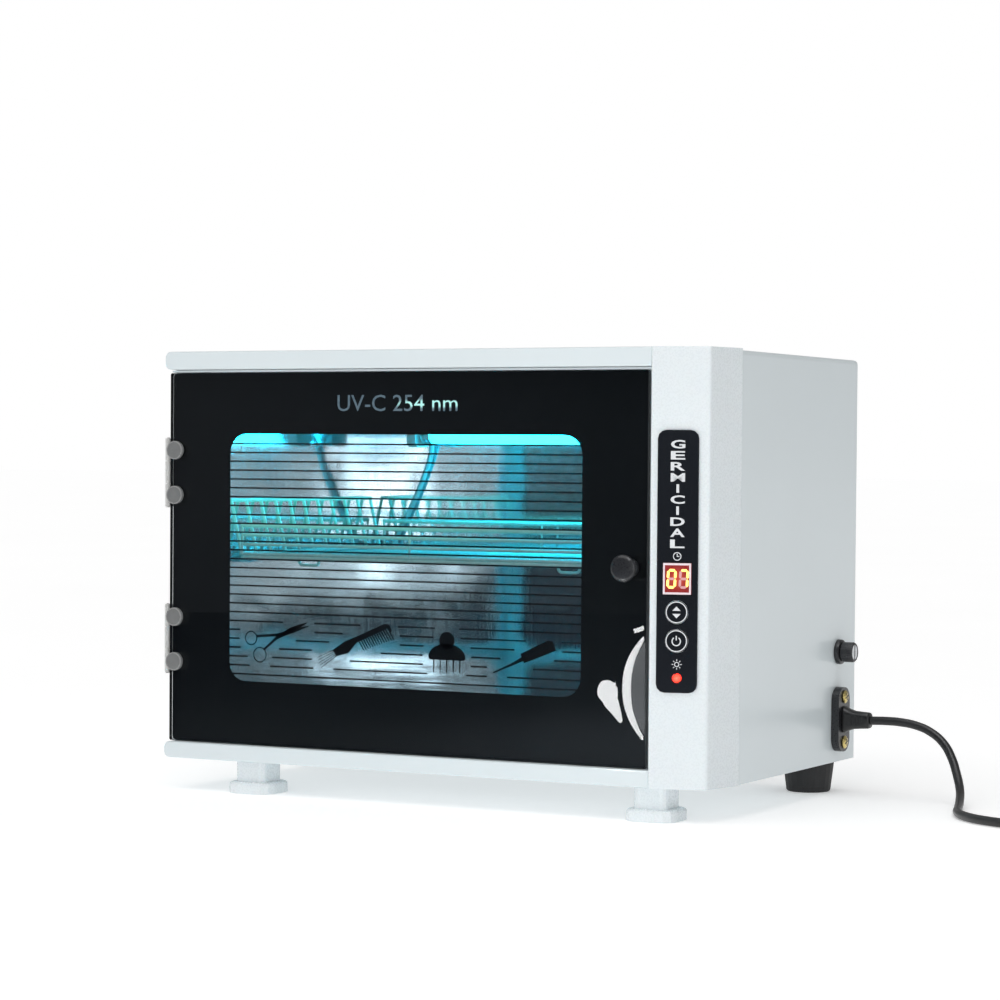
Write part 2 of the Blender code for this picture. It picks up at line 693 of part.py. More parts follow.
def hinge_knuckle(name, low, high):
    return turned(name, [(low, KNUCKLE_R), (high, KNUCKLE_R)], (HINGE_X, HINGE_Y, 0), "Z", "chrome", 16)


def pin_bore():
    return prism("bore", circle(HINGE_X, HINGE_Y, PIN_R + GAP, 10), 0, 300, "chrome")


def case_leaf(which, low):
    """The hinge leaf screwed to the case's left side, with its upper and lower knuckles."""
    third = HINGE_H / 3
    high = low + HINGE_H
    outer, inner, front = CASE_LEFT - GAP - 1.2, CASE_LEFT - GAP, HINGE_Y + 0.8
    leaf = box("hinge_leaf_case_" + which, (outer, 6.5, low), (inner, 22, high), "chrome")
    parts = []
    for start, end in ((low, low + third - 0.2), (high - third + 0.2, high)):
        parts.append(box("web", (HINGE_X, front, start), (inner, front + 1.2, end), "chrome"))
        parts.append(box("return", (outer, front, start), (inner, 7.5, end), "chrome"))
        parts.append(hinge_knuckle("knuckle", start, end))
    unite(leaf, *parts)
    cut(leaf, pin_bore())
    smooth(leaf)


def door_leaf(which, low):
    """The hinge leaf clamped behind the glass, with the middle knuckle."""
    third = HINGE_H / 3
    knuckle = (low + third + 0.2, low + 2 * third - 0.2)
    leaf = box("hinge_leaf_door_" + which, (0.6, DOOR_BACK, low + 0.5),
               (11, DOOR_BACK + 1.0, low + HINGE_H - 0.5), "chrome")
    web = box("web", (HINGE_X, DOOR_BACK, knuckle[0]), (1.5, DOOR_BACK + 1.0, knuckle[1]), "chrome")
    unite(leaf, web, hinge_knuckle("knuckle", *knuckle))
    cut(leaf, pin_bore())
    smooth(leaf)
    return leaf


def hinge_pin(which, low):
    profile = [(low - 0.6, 1.7), (low - GAP, 1.7), (low - GAP, PIN_R), (low + HINGE_H + 0.6, PIN_R)]
    turned("hinge_pin_" + which, profile, (HINGE_X, HINGE_Y, 0), "Z", "chrome", 10)


def clamp_cap(name, z):
    """A flat round clamp head on the glass, its stud reaching through to the leaf."""
    profile = [(-3.0, CAP_R - 0.8), (-2.6, CAP_R), (-GAP, CAP_R), (-GAP, 1.5), (DOOR_BACK - 0.2, 1.5)]
    return turned("clamp_cap_" + name, profile, (CAP_X, 0, z), "Y", "chrome", 20)


def door_knob():
    """A mushroom knob with its stud through the glass."""
    profile = [
        (-KNOB_REACH, 5.6),
        (-KNOB_REACH + 0.9, 7.4),
        (-KNOB_REACH + 2.4, KNOB_R),
        (-KNOB_REACH + 4.4, KNOB_R),
        (-KNOB_REACH + 6.0, 5.0),
        (-4.0, 4.0),
        (-GAP, 5.2),
        (-GAP, 1.8),
        (DOOR_BACK - 0.2, 1.8),
    ]
    return turned("door_knob", profile, (KNOB_X, 0, KNOB_Z), "Y", "black_plastic", 20)


def door():
    pieces = [door_glass(), door_mask()]
    for which, low in HINGES.items():
        case_leaf(which, low)
        hinge_pin(which, low)
        pieces.append(door_leaf(which, low))
    pieces += [clamp_cap(name, z) for name, z in cap_heights().items()]
    pieces.append(door_knob())
    pieces.append(box("strike_plate", (322, DOOR_BACK, 142), (334, DOOR_BACK + 0.9, 158), "chrome"))
    box("magnet_catch", (320, DOOR_BACK + 0.9 + GAP, 140), (336, 20, 160), "magnet")
    axis = empty("door_axis", (HINGE_X, HINGE_Y, GLASS_BOTTOM))
    hang(pieces, axis)
    return axis


# ---------------------------------------------------------------- fuse and inlet


def fuse_holder():
    """The flanged barrel through the side wall, open at its face for the carrier."""
    x = CASE_RIGHT + GAP
    body = turned(
        "fuse_holder",
        [(364, 4.6), (365, 5.8), (x, 5.8), (x, FUSE_FLANGE_R), (FUSE_FACE - 0.8, FUSE_FLANGE_R), (FUSE_FACE, 7.2)],
        (0, FUSE_Y, FUSE_Z), "X", "black_plastic", 20,
    )
    cut(body, prism("bore", circle(FUSE_Y, FUSE_Z, 4.4, 12), 365.4, 400, "black_plastic", "X"))
    smooth(body)


def fuse_carrier():
    """The cap that is turned and pulled, and the glass cartridge behind it."""
    face = FUSE_FACE + GAP
    cap = turned(
        "fuse_cap",
        [(387, 3.9), (face, 3.9), (face, FUSE_CAP_R), (FUSE_END - 1, FUSE_CAP_R), (FUSE_END, FUSE_CAP_R - 1)],
        (0, FUSE_Y, FUSE_Z), "X", "black_plastic", 20,
    )
    slot = box("slot", (FUSE_END - 1.2, FUSE_Y - 0.7, FUSE_Z - 3.4), (FUSE_END + 5, FUSE_Y + 0.7, FUSE_Z + 3.4), "black_plastic")
    cut(cap, slot)
    smooth(cap)
    cartridge = turned("fuse_cartridge", [(366.2, 2.6), (386.6, 2.6)], (0, FUSE_Y, FUSE_Z), "X", "fuse_glass", 12)
    for piece in (cap, cartridge):
        set_axis(piece, (FUSE_FACE, FUSE_Y, FUSE_Z))


def inlet():
    """The mains inlet: a long flange with a recess, its two contact pins and two brass screws."""
    x = CASE_RIGHT + GAP
    y, z = INLET_Y, INLET_Z
    outline = rounded(
        y - INLET_W / 2, z - INLET_H / 2, y + INLET_W / 2, z + INLET_H / 2, INLET_ROUND, 6
    )
    flange = prism("inlet_socket", outline, x, INLET_FACE, "black_plastic", "X")
    back = box("back", (372, y - 6.2, z - 9), (x + 1, y + 6.2, z + 9), "black_plastic")
    unite(flange, back)
    half_h, half_w = NOSE_H / 2 + 0.4, NOSE_W / 2 + 0.4
    recess = rounded(y - half_w, z - half_h, y + half_w, z + half_h, 3.5)
    bottom = INLET_FACE - NOSE_DEPTH - 0.6
    cutters = [prism("recess", recess, bottom, 400, "black_plastic", "X")]
    for side in (-1, 1):
        hole = circle(y, z + side * SCREW_RISE, 1.9, 8)
        cutters.append(prism("screw_hole", hole, 370, 400, "black_plastic", "X"))
    cut(flange, *cutters)
    for name, side in (("inlet_pin_upper", 1), ("inlet_pin_lower", -1)):
        profile = [(bottom + GAP, 1.15), (INLET_FACE - 2.4, 1.15), (INLET_FACE - 1.6, 0.6)]
        turned(name, profile, (0, y, z + side * 2.9), "X", "brass", 10)
    for name, side in (("inlet_screw_upper", 1), ("inlet_screw_lower", -1)):
        profile = [
            (x + 1, 1.5),
            (INLET_FACE + GAP, 1.5),
            (INLET_FACE + GAP, SCREW_R),
            (INLET_FACE + 1.2, SCREW_R - 0.5),
            (INLET_FACE + 1.9, 2.0),
        ]
        turned(name, profile, (0, y, z + side * SCREW_RISE), "X", "brass", 12)


# ---------------------------------------------------------------- feet


def feet():
    for name, x in zip(("front_foot_left", "front_foot_right"), FRONT_FEET_X):
        y = FRONT_FOOT_Y
        base = prism(name, rounded(x - 16.2, y - 16.2, x + 16.2, y + 16.2, 10), 0, 7.2, "white_plastic")
        soften(base, 1.8, lambda edge: on_plane(edge, 2, 7.2), 2)
        post = prism("post", rounded(x - 11, y - 11, x + 11, y + 11, 4), 6, FOOT_TOP, "white_plastic")
        unite(base, post)
        smooth(base)
    for name, x in zip(("rear_foot_left", "rear_foot_right"), REAR_FEET_X):
        profile = [(0, 13.6), (0.8, 14.3), (FOOT_TOP - 1.2, 16.5), (FOOT_TOP, 15.8)]
        turned(name, profile, (x, REAR_FOOT_Y, 0), "Z", "black_rubber", 24)


# ---------------------------------------------------------------- mains lead


def smooth_route(route, spacing):
    """Points at an even spacing along a smooth curve through the route's points."""
    route = [Vector(point) for point in route]
    ends = [2 * route[0] - route[1], *route, 2 * route[-1] - route[-2]]
    fine = []
    for a, b, c, d in zip(ends, ends[1:], ends[2:], ends[3:]):
        for i in range(24):
            t = i / 24
            fine.append(
                0.5 * (2 * b + (c - a) * t + (2 * a - 5 * b + 4 * c - d) * t**2
                       + (3 * b - a - 3 * c + d) * t**3)
            )
    fine.append(route[-1])
    lengths = [0.0]
    for a, b in zip(fine, fine[1:]):
        lengths.append(lengths[-1] + (b - a).length)
    count = round(lengths[-1] / spacing)
    points, i = [], 0
    for step in range(count + 1):
        reach = lengths[-1] * step / count
        while i < len(fine) - 2 and lengths[i + 1] < reach:
            i += 1
        share = (reach - lengths[i]) / (lengths[i + 1] - lengths[i])
        points.append(fine[i].lerp(fine[i + 1], min(share, 1.0)))
    return points


def cord_points():
    """The lead's centre line from the connector's grip to the coil, never into the floor."""
    points = smooth_route(CORD_ROUTE, 2.2 * 2 * CORD_R)
    return [Vector((point.x, point.y, max(point.z, CORD_R))) for point in points]


def tube(name, points, radius, look):
    """A round tube along points, made from a bevelled curve with closed ends."""
    curve = bpy.data.curves.new(name, "CURVE")
    curve.dimensions = "3D"
    curve.bevel_depth = radius * MM
    curve.bevel_resolution = 2
    curve.use_fill_caps = True
    line = curve.splines.new("POLY")
    line.points.add(len(points) - 1)
    for place, point in zip(line.points, points):
        place.co = (*(Vector(point) * MM), 1.0)
    made = bpy.data.objects.new(name, curve)
    bpy.context.scene.collection.objects.link(made)
    curve.materials.append(material(look))
    return made


def connector():
    """The two-pole connector in the inlet: a nose and a grip that tapers down to the cord."""
    y, z = INLET_Y, INLET_Z
    start = INLET_FACE - NOSE_DEPTH
    grip = INLET_FACE + GAP
    nose = prism("cord_connector", rounded(y - NOSE_W / 2, z - NOSE_H / 2, y + NOSE_W / 2, z + NOSE_H / 2, 3.2),
                 start, grip + 1, "cord_jacket", "X")
    stations = [
        (grip, 5.2, 8.6),
        (grip + 1.5, 5.0, 7.8),
        (grip + 3.8, 4.8, 6.8),
        (grip + 7, 4.7, 5.8),
        (GRIP_END - 1, 4.5, 5.1),
        (GRIP_END, 3.7, 4.3),
    ]
    unite(nose, loft("grip", stations, y, z))
    bores = [prism("bore", circle(y, z + side * 2.9, 1.5, 10), start - 1, INLET_FACE - 0.8, "cord_jacket", "X")
             for side in (-1, 1)]
    cut(nose, *bores)
    smooth(nose)


def loft(name, stations, y, z):
    """A body of rounded sections (x, half width, half height)."""
    points, faces, rings = [], [], []
    for x, half_y, half_z in stations:
        ring = rounded(y - half_y, z - half_z, y + half_y, z + half_z, min(half_y, half_z) * 0.7)
        rings.append(len(points))
        points += [(x, a, b) for a, b in ring]
    count = len(ring)
    for start in rings[:-1]:
        for i in range(count):
            after = (i + 1) % count
            faces.append((start + i, start + after, start + count + after, start + count + i))
    faces.append(tuple(range(count)))
    faces.append(tuple(range(rings[-1], rings[-1] + count)))
    return solid(name, points, faces, "cord_jacket")


def cord_coil():
    """The put-away length, a round coil three turns wide and two high, as one ring."""
    low, high = 0.0, COIL_TURNS_HIGH * 2 * CORD_R
    inner, outer, soft, sides = 2 * COIL_MID - COIL_OUT, COIL_OUT, CORD_R * 0.6, 32
    section = [
        (inner, low + soft), (inner + soft, low), (outer - soft, low), (outer, low + soft),
        (outer, high - soft), (outer - soft, high), (inner + soft, high), (inner, high - soft),
    ]
    points, faces = [], []
    for i in range(sides):
        turn = 2 * math.pi * i / sides
        for radius, z in section:
            points.append((COIL_X + radius * math.cos(turn), COIL_Y + radius * math.sin(turn), z))
    count = len(section)
    for i in range(sides):
        near, far = i * count, (i + 1) % sides * count
        for j in range(count):
            after = (j + 1) % count
            faces.append((near + j, near + after, far + after, far + j))
    smooth(solid("cord_coil", points, faces, "cord_jacket"))


def mains_plug():
    """A plain two-pin plug lying beside the coil, its relief against the coil's last turn."""
    y0 = COIL_Y
    plug = turned("mains_plug", [(y0, 2.9), (y0 + 24, 4.2)], (PLUG_X, 0, PLUG_Z), "Y", "cord_jacket", 12)
    outline = [(-4.5, 23), (-7, 27), (-13, 42), (-13, 58), (13, 58), (13, 42), (7, 27), (4.5, 23)]
    body = prism("body", [(PLUG_X + x, y0 + y) for x, y in outline], 0, 14, "cord_jacket")
    soften(body, 2.2, lambda edge: on_plane(edge, 2, 14.0) or on_plane(edge, 2, 0.0), 2)
    unite(plug, body)
    cut(plug, *[prism("bore", circle(PLUG_X + side * 9.3, PLUG_Z, 2.3, 10), y0 + 50, y0 + 70, "cord_jacket", "Y")
                for side in (-1, 1)])
    smooth(plug)
    for name, side in (("plug_pin_left", -1), ("plug_pin_right", 1)):
        profile = [(y0 + 50 + GAP, 2.0), (y0 + 76, 2.0), (y0 + 77, 1.2)]
        turned(name, profile, (PLUG_X + side * 9.3, 0, PLUG_Z), "Y", "brass", 10)


def recentre():
    """Moves the origin from the glass's corner to under the cabinet's middle."""
    for each in bpy.context.scene.objects:
        if each.parent is None:
            each.location -= Vector((ORIGIN_X, ORIGIN_Y, 0)) * MM


def main():
    for old in list(bpy.data.objects):
        bpy.data.objects.remove(old)
    case_shell()
    base_plate()
    rear_panel()
    front_frame()
    rail("top_rail", TOP_RAIL_LOW, FRONT_TOP_Z)
    rail("bottom_rail", BASE_Z, BOTTOM_RAIL_TOP)
    face = empty("panel_face", (*COLUMN_A, 0), FACE_TURN)
    control_column(face)
    control_panel(face)
    liner()
    lamp()
    lamp_lead()
    ledges()
    ballast()
    basket()
    door()
    fuse_holder()
    fuse_carrier()
    inlet()
    feet()
    connector()
    tube("power_cord", cord_points(), CORD_R, "cord_jacket")
    cord_coil()
    mains_plug()
    recentre()


main()
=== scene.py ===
import math

import bmesh
import bpy
from mathutils import Matrix, Vector

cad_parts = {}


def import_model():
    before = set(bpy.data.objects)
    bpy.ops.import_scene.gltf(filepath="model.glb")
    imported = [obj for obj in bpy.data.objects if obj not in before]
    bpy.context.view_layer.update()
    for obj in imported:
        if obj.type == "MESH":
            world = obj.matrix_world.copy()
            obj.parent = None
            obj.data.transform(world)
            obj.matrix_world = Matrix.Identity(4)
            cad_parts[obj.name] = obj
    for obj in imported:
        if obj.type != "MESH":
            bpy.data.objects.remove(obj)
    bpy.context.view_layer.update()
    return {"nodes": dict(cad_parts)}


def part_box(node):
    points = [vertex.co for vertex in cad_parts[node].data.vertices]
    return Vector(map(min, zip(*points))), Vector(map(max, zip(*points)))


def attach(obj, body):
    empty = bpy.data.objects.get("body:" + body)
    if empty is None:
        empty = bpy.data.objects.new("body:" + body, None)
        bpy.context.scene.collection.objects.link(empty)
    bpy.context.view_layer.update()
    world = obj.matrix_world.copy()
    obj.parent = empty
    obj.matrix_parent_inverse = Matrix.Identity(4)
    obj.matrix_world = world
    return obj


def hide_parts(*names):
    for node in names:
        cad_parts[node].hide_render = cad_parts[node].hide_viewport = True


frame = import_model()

# Sizes are millimetres in cabinet coordinates: x runs right from the door glass's left edge,
# y runs back from the glass's front face, and z runs up from the floor.
MM = 0.001
GLASS_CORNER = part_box("door_glass")[0]
NODES = frame["nodes"]
FACE_START, FACE_END = (345.2, -7.5), (379.2, 1.6)


def at(x, y, z):
    """A place in cabinet millimetres, in the frame's metres."""
    return Vector((GLASS_CORNER.x + x * MM, GLASS_CORNER.y + y * MM, z * MM))


def low_mm(node):
    """A CAD node's lowest corner, in cabinet millimetres."""
    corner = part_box(node)[0]
    return Vector((corner.x - GLASS_CORNER.x, corner.y - GLASS_CORNER.y, corner.z)) / MM


def high_mm(node):
    """A CAD node's highest corner, in cabinet millimetres."""
    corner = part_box(node)[1]
    return Vector((corner.x - GLASS_CORNER.x, corner.y - GLASS_CORNER.y, corner.z)) / MM


# ---------------------------------------------------------------- materials


def blank(name):
    """A new material with its tree and its one Principled shader."""
    made = bpy.data.materials.new(name)
    made.use_nodes = True
    return made, made.node_tree, made.node_tree.nodes["Principled BSDF"]


def speckle(tree, scale, detail=2.0, stretch=(1, 1, 1)):
    """Noise over the piece's own coordinates, at scale features to the metre."""
    place = tree.nodes.new("ShaderNodeTexCoord")
    spread = tree.nodes.new("ShaderNodeMapping")
    spread.inputs["Scale"].default_value = stretch
    spots = tree.nodes.new("ShaderNodeTexNoise")
    spots.inputs["Scale"].default_value = scale
    spots.inputs["Detail"].default_value = detail
    tree.links.new(place.outputs["Object"], spread.inputs["Vector"])
    tree.links.new(spread.outputs["Vector"], spots.inputs["Vector"])
    return spots.outputs["Fac"]


def ranged(tree, source, low, high):
    """A 0 to 1 value stretched to run from low to high."""
    made = tree.nodes.new("ShaderNodeMapRange")
    made.inputs["From Min"].default_value = 0.3
    made.inputs["From Max"].default_value = 0.7
    made.inputs["To Min"].default_value = low
    made.inputs["To Max"].default_value = high
    tree.links.new(source, made.inputs["Value"])
    return made.outputs["Result"]


def tinted(tree, source, first, second):
    """A colour that goes from first to second as source goes from 0.3 to 0.7."""
    ramp = tree.nodes.new("ShaderNodeValToRGB")
    ramp.color_ramp.elements[0].position = 0.3
    ramp.color_ramp.elements[1].position = 0.7
    ramp.color_ramp.elements[0].color = (*first, 1.0)
    ramp.color_ramp.elements[1].color = (*second, 1.0)
    tree.links.new(source, ramp.inputs["Fac"])
    return ramp.outputs["Color"]


def relief(tree, shader, source, depth, strength=1.0):
    """Bumps the surface by depth metres as source goes from 0 to 1."""
    bump = tree.nodes.new("ShaderNodeBump")
    bump.inputs["Distance"].default_value = depth
    bump.inputs["Strength"].default_value = strength
    tree.links.new(source, bump.inputs["Height"])
    tree.links.new(bump.outputs["Normal"], shader.inputs["Normal"])
    return bump


def finish(name, color, roughness, metallic=0.0, drift=0.04, blotch=14, grain=700,
           depth=0.00003, gloss=0.05, stretch=(1, 1, 1), **sockets):
    """A material whose colour drifts in broad blotches and whose relief and gloss follow a fine grain."""
    made, tree, shader = blank(name)
    shader.inputs["Metallic"].default_value = metallic
    for socket, value in sockets.items():
        shader.inputs[socket.replace("_", " ")].default_value = value
    dark = [channel * (1 - drift) for channel in color]
    light = [min(channel * (1 + drift), 1.0) for channel in color]
    broad = speckle(tree, blotch, 3.0)
    fine = speckle(tree, grain, 2.0, stretch)
    tree.links.new(tinted(tree, broad, dark, light), shader.inputs["Base Color"])
    rough = ranged(tree, fine, max(roughness - gloss, 0.0), roughness + gloss)
    tree.links.new(rough, shader.inputs["Roughness"])
    relief(tree, shader, fine, depth)
    return made


def white_paint():
    """Glossy white powder coat with a faint orange peel."""
    return finish("white_powder_coat", (0.74, 0.81, 0.835), 0.32, drift=0.008, grain=650,
                  depth=0.00001, gloss=0.03, Coat_Weight=0.2, Coat_Roughness=0.15)


def polished_steel():
    """Mirror sheet that is slightly wavy, with faint rolling lines."""
    made, tree, shader = blank("polished_sheet")
    shader.inputs["Metallic"].default_value = 0.97
    broad = speckle(tree, 9, 3.0)
    tree.links.new(tinted(tree, broad, (0.66, 0.72, 0.76), (0.76, 0.81, 0.84)), shader.inputs["Base Color"])
    lines = speckle(tree, 900, 2.0, (1, 1, 0.06))
    tree.links.new(ranged(tree, lines, 0.05, 0.11), shader.inputs["Roughness"])
    waves = speckle(tree, 17, 1.0)
    relief(tree, shader, waves, 0.0005)
    return made


def glass():
    """Slightly grey float glass, which lets lamps' light through."""
    made, tree, shader = blank("door_glass_tint")
    shader.inputs["Transmission Weight"].default_value = 1.0
    shader.inputs["IOR"].default_value = 1.46
    smears = speckle(tree, 26, 3.0)
    tree.links.new(tinted(tree, smears, (0.80, 0.86, 0.87), (0.85, 0.90, 0.91)), shader.inputs["Base Color"])
    tree.links.new(ranged(tree, smears, 0.0, 0.012), shader.inputs["Roughness"])
    rays = tree.nodes.new("ShaderNodeLightPath")
    clear = tree.nodes.new("ShaderNodeBsdfTransparent")
    clear.inputs["Color"].default_value = (0.85, 0.9, 0.9, 1.0)
    mix = tree.nodes.new("ShaderNodeMixShader")
    out = tree.nodes["Material Output"]
    tree.links.new(rays.outputs["Is Shadow Ray"], mix.inputs["Fac"])
    tree.links.new(shader.outputs["BSDF"], mix.inputs[1])
    tree.links.new(clear.outputs["BSDF"], mix.inputs[2])
    tree.links.new(mix.outputs["Shader"], out.inputs["Surface"])
    return made


def near(tree, centre, inner, outer, stretch=(1, 1, 1)):
    """1 within inner metres of a place, falling to 0 at outer metres; stretch widens it along x, y and z."""
    place = tree.nodes.new("ShaderNodeTexCoord")
    offset = tree.nodes.new("ShaderNodeVectorMath")
    offset.operation = "SUBTRACT"
    offset.inputs[1].default_value = centre
    apart = tree.nodes.new("ShaderNodeVectorMath")
    apart.operation = "DIVIDE"
    apart.inputs[1].default_value = stretch
    length = tree.nodes.new("ShaderNodeVectorMath")
    length.operation = "LENGTH"
    fall = tree.nodes.new("ShaderNodeMapRange")
    fall.interpolation_type = "SMOOTHSTEP"
    fall.inputs["From Min"].default_value = outer
    fall.inputs["From Max"].default_value = inner
    tree.links.new(place.outputs["Object"], offset.inputs[0])
    tree.links.new(offset.outputs["Vector"], apart.inputs[0])
    tree.links.new(apart.outputs["Vector"], length.inputs[0])
    tree.links.new(length.outputs["Value"], fall.inputs["Value"])
    return fall.outputs["Result"]


def glowing(name, base, low, high, strength, fade, roughness=0.3):
    """A lit surface whose glow goes from low to high as fade(tree) goes from 0 to 1."""
    made, tree, shader = blank(name)
    grain = speckle(tree, 300, 2.0)
    dark = [channel * 0.85 for channel in base]
    tree.links.new(tinted(tree, grain, dark, base), shader.inputs["Base Color"])
    tree.links.new(ranged(tree, grain, roughness - 0.05, roughness + 0.05), shader.inputs["Roughness"])
    mix = tree.nodes.new("ShaderNodeMix")
    mix.data_type = "RGBA"
    mix.inputs["A"].default_value = (*low, 1.0)
    mix.inputs["B"].default_value = (*high, 1.0)
    tree.links.new(fade(tree), mix.inputs["Factor"])
    tree.links.new(mix.outputs["Result"], shader.inputs["Emission Color"])
    shader.inputs["Emission Strength"].default_value = strength
    return made


def lamp_glow(tree):
    """Brighter in the tube's middle than at its blackened ends."""
    middle = (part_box("uv_lamp")[0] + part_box("uv_lamp")[1]) / 2
    return near(tree, middle, 0.085, 0.108)


def on_panel(s, z):
    """A place on the sloping control face, s millimetres along it, in the frame's metres."""
    turn = Vector((FACE_END[0] - FACE_START[0], FACE_END[1] - FACE_START[1])).normalized()
    return at(FACE_START[0] + s * turn.x, FACE_START[1] + s * turn.y, z)


LOOKS = {
    "white_paint": white_paint(),
    "ballast_case": finish("ballast_enamel", (0.7, 0.71, 0.7), 0.45),
    "white_plastic": finish("white_moulding", (0.765, 0.82, 0.845), 0.28, drift=0.015, grain=900,
                            Subsurface_Weight=0.04, Subsurface_Scale=0.003),
    "panel_film": finish("black_film", (0.010, 0.012, 0.016), 0.16, drift=0.1, grain=1400, depth=0.000006),
    "display": glowing("display_glow", (0.12, 0.012, 0.012), (0.26, 0.012, 0.012), (0.62, 0.07, 0.035), 0.8,
                       lambda tree: near(tree, on_panel(17.0, 144.4), 0.002, 0.0085, (0.9, 0.9, 1.0))),
    "red_led": glowing("led_glow", (0.6, 0.1, 0.06), (0.75, 0.02, 0.01), (1.0, 0.50, 0.32), 3.2,
                       lambda tree: near(tree, on_panel(17.2, 85.9), 0.0006, 0.0022)),
    "circuit_board": finish("board_laminate", (0.03, 0.2, 0.08), 0.5, drift=0.3, blotch=300),
    "polished_steel": polished_steel(),
    "lamp_glass": glowing("tube_glow", (0.6, 0.9, 1.0), (0.005, 0.36, 0.60), (0.01, 0.74, 1.0), 22.0,
                          lamp_glow, 0.1),
    "lamp_holder": finish("holder_plastic", (0.78, 0.78, 0.75), 0.45),
    "lead_sleeve": finish("sleeve", (0.5, 0.58, 0.6), 0.5, grain=1500, depth=0.0001, stretch=(1, 1, 4)),
    # The wires' glow is painted light: emission, strongest in a level band near the tops of the basket's
    # sides, in place of what the tube's mirror images would add.
    "basket_wire": glowing("wire_chrome", (0.50, 0.66, 0.64), (0.004, 0.045, 0.05), (0.07, 0.60, 0.50), 0.8,
                           lambda tree: near(tree, at(100, 70, 190), 0.03, 0.125, (2.2, 2.0, 0.34)), 0.22),
    "smoked_glass": glass(),
    "black_print": finish("black_ink", (0.0022, 0.0028, 0.004), 0.35, drift=0.2, grain=1200, depth=0.000004),
    "chrome": finish("satin_steel", (0.84, 0.84, 0.82), 0.3, metallic=0.3, grain=1400, depth=0.000012,
                     stretch=(1, 1, 0.1)),
    "magnet": finish("ferrite", (0.07, 0.065, 0.06), 0.6, drift=0.2, blotch=200),
    "black_plastic": finish("black_moulding", (0.018, 0.019, 0.022), 0.3, drift=0.15, grain=1100),
    "fuse_glass": finish("fuse_glass", (0.7, 0.8, 0.8), 0.1, grain=600),
    "brass": finish("brass", (0.62, 0.5, 0.2), 0.28, metallic=1.0, drift=0.12, blotch=120, grain=1500),
    "plug_metal": finish("nickel", (0.66, 0.63, 0.58), 0.2, metallic=1.0, drift=0.06, blotch=120),
    "black_rubber": finish("rubber", (0.012, 0.012, 0.013), 0.6, drift=0.2, grain=1300, depth=0.00008),
    "cord_jacket": finish("cord_jacket", (0.011, 0.011, 0.012), 0.33, drift=0.15, grain=1500, depth=0.00002),
}
EXTRA = {
    "white_print": finish("white_ink", (0.72, 0.74, 0.76), 0.45, drift=0.06, blotch=300, grain=1800),
    "display_rim": finish("display_rim", (0.85, 0.72, 0.76), 0.45, drift=0.05, blotch=300),
    "digit_lit": glowing("digit_lit", (0.9, 0.6, 0.2), (1.0, 0.36, 0.05), (1.0, 0.62, 0.10), 2.6,
                         lambda tree: speckle(tree, 500)),
    "digit_dark": glowing("digit_dark", (0.5, 0.3, 0.32), (0.5, 0.16, 0.16), (0.55, 0.2, 0.2), 0.6,
                          lambda tree: speckle(tree, 500)),
    # The door word's letters: a faint painted glow throughout, and a painted cyan glint round their right
    # part.
    "letter_painted_glow": glowing("letter_painted_glow", (0.30, 0.34, 0.38), (0.055, 0.09, 0.12), (0.55, 1.0, 0.92), 1.0,
                           lambda tree: near(tree, at(193, 3, 247.6), 0.0014, 0.0034, (11, 4, 1)), 0.3),
    "pale_foil": finish("pale_foil", (0.74, 0.78, 0.80), 0.5, drift=0.03, blotch=60),
    "clamp_metal": finish("clamp_metal", (0.24, 0.245, 0.245), 0.4, metallic=0.25, drift=0.06, blotch=200,
                          Coat_Weight=0.8, Coat_Roughness=0.1),
    # Lighter than the clamp heads' own metal: a painted highlight round their turned edge.
    "clamp_edge": finish("clamp_edge", (0.42, 0.42, 0.42), 0.3, metallic=0.3, drift=0.03, blotch=200),
    "cap_metal": finish("cap_metal", (0.72, 0.74, 0.75), 0.3, metallic=1.0, drift=0.05, blotch=200),
    "slot_metal": finish("slot_metal", (0.6, 0.62, 0.64), 0.3, metallic=1.0, drift=0.15, blotch=300),
}


def paint_nodes():
    """Gives each CAD node its slot's finish."""
    for node in NODES.values():
        slots = node.data.materials
        for i, old in enumerate(slots):
            name = old.name.split(".")[0]
            if name not in LOOKS:
                raise SystemExit(f"{node.name} has no look for {old.name}")
            slots[i] = LOOKS[name]


# ---------------------------------------------------------------- shapes


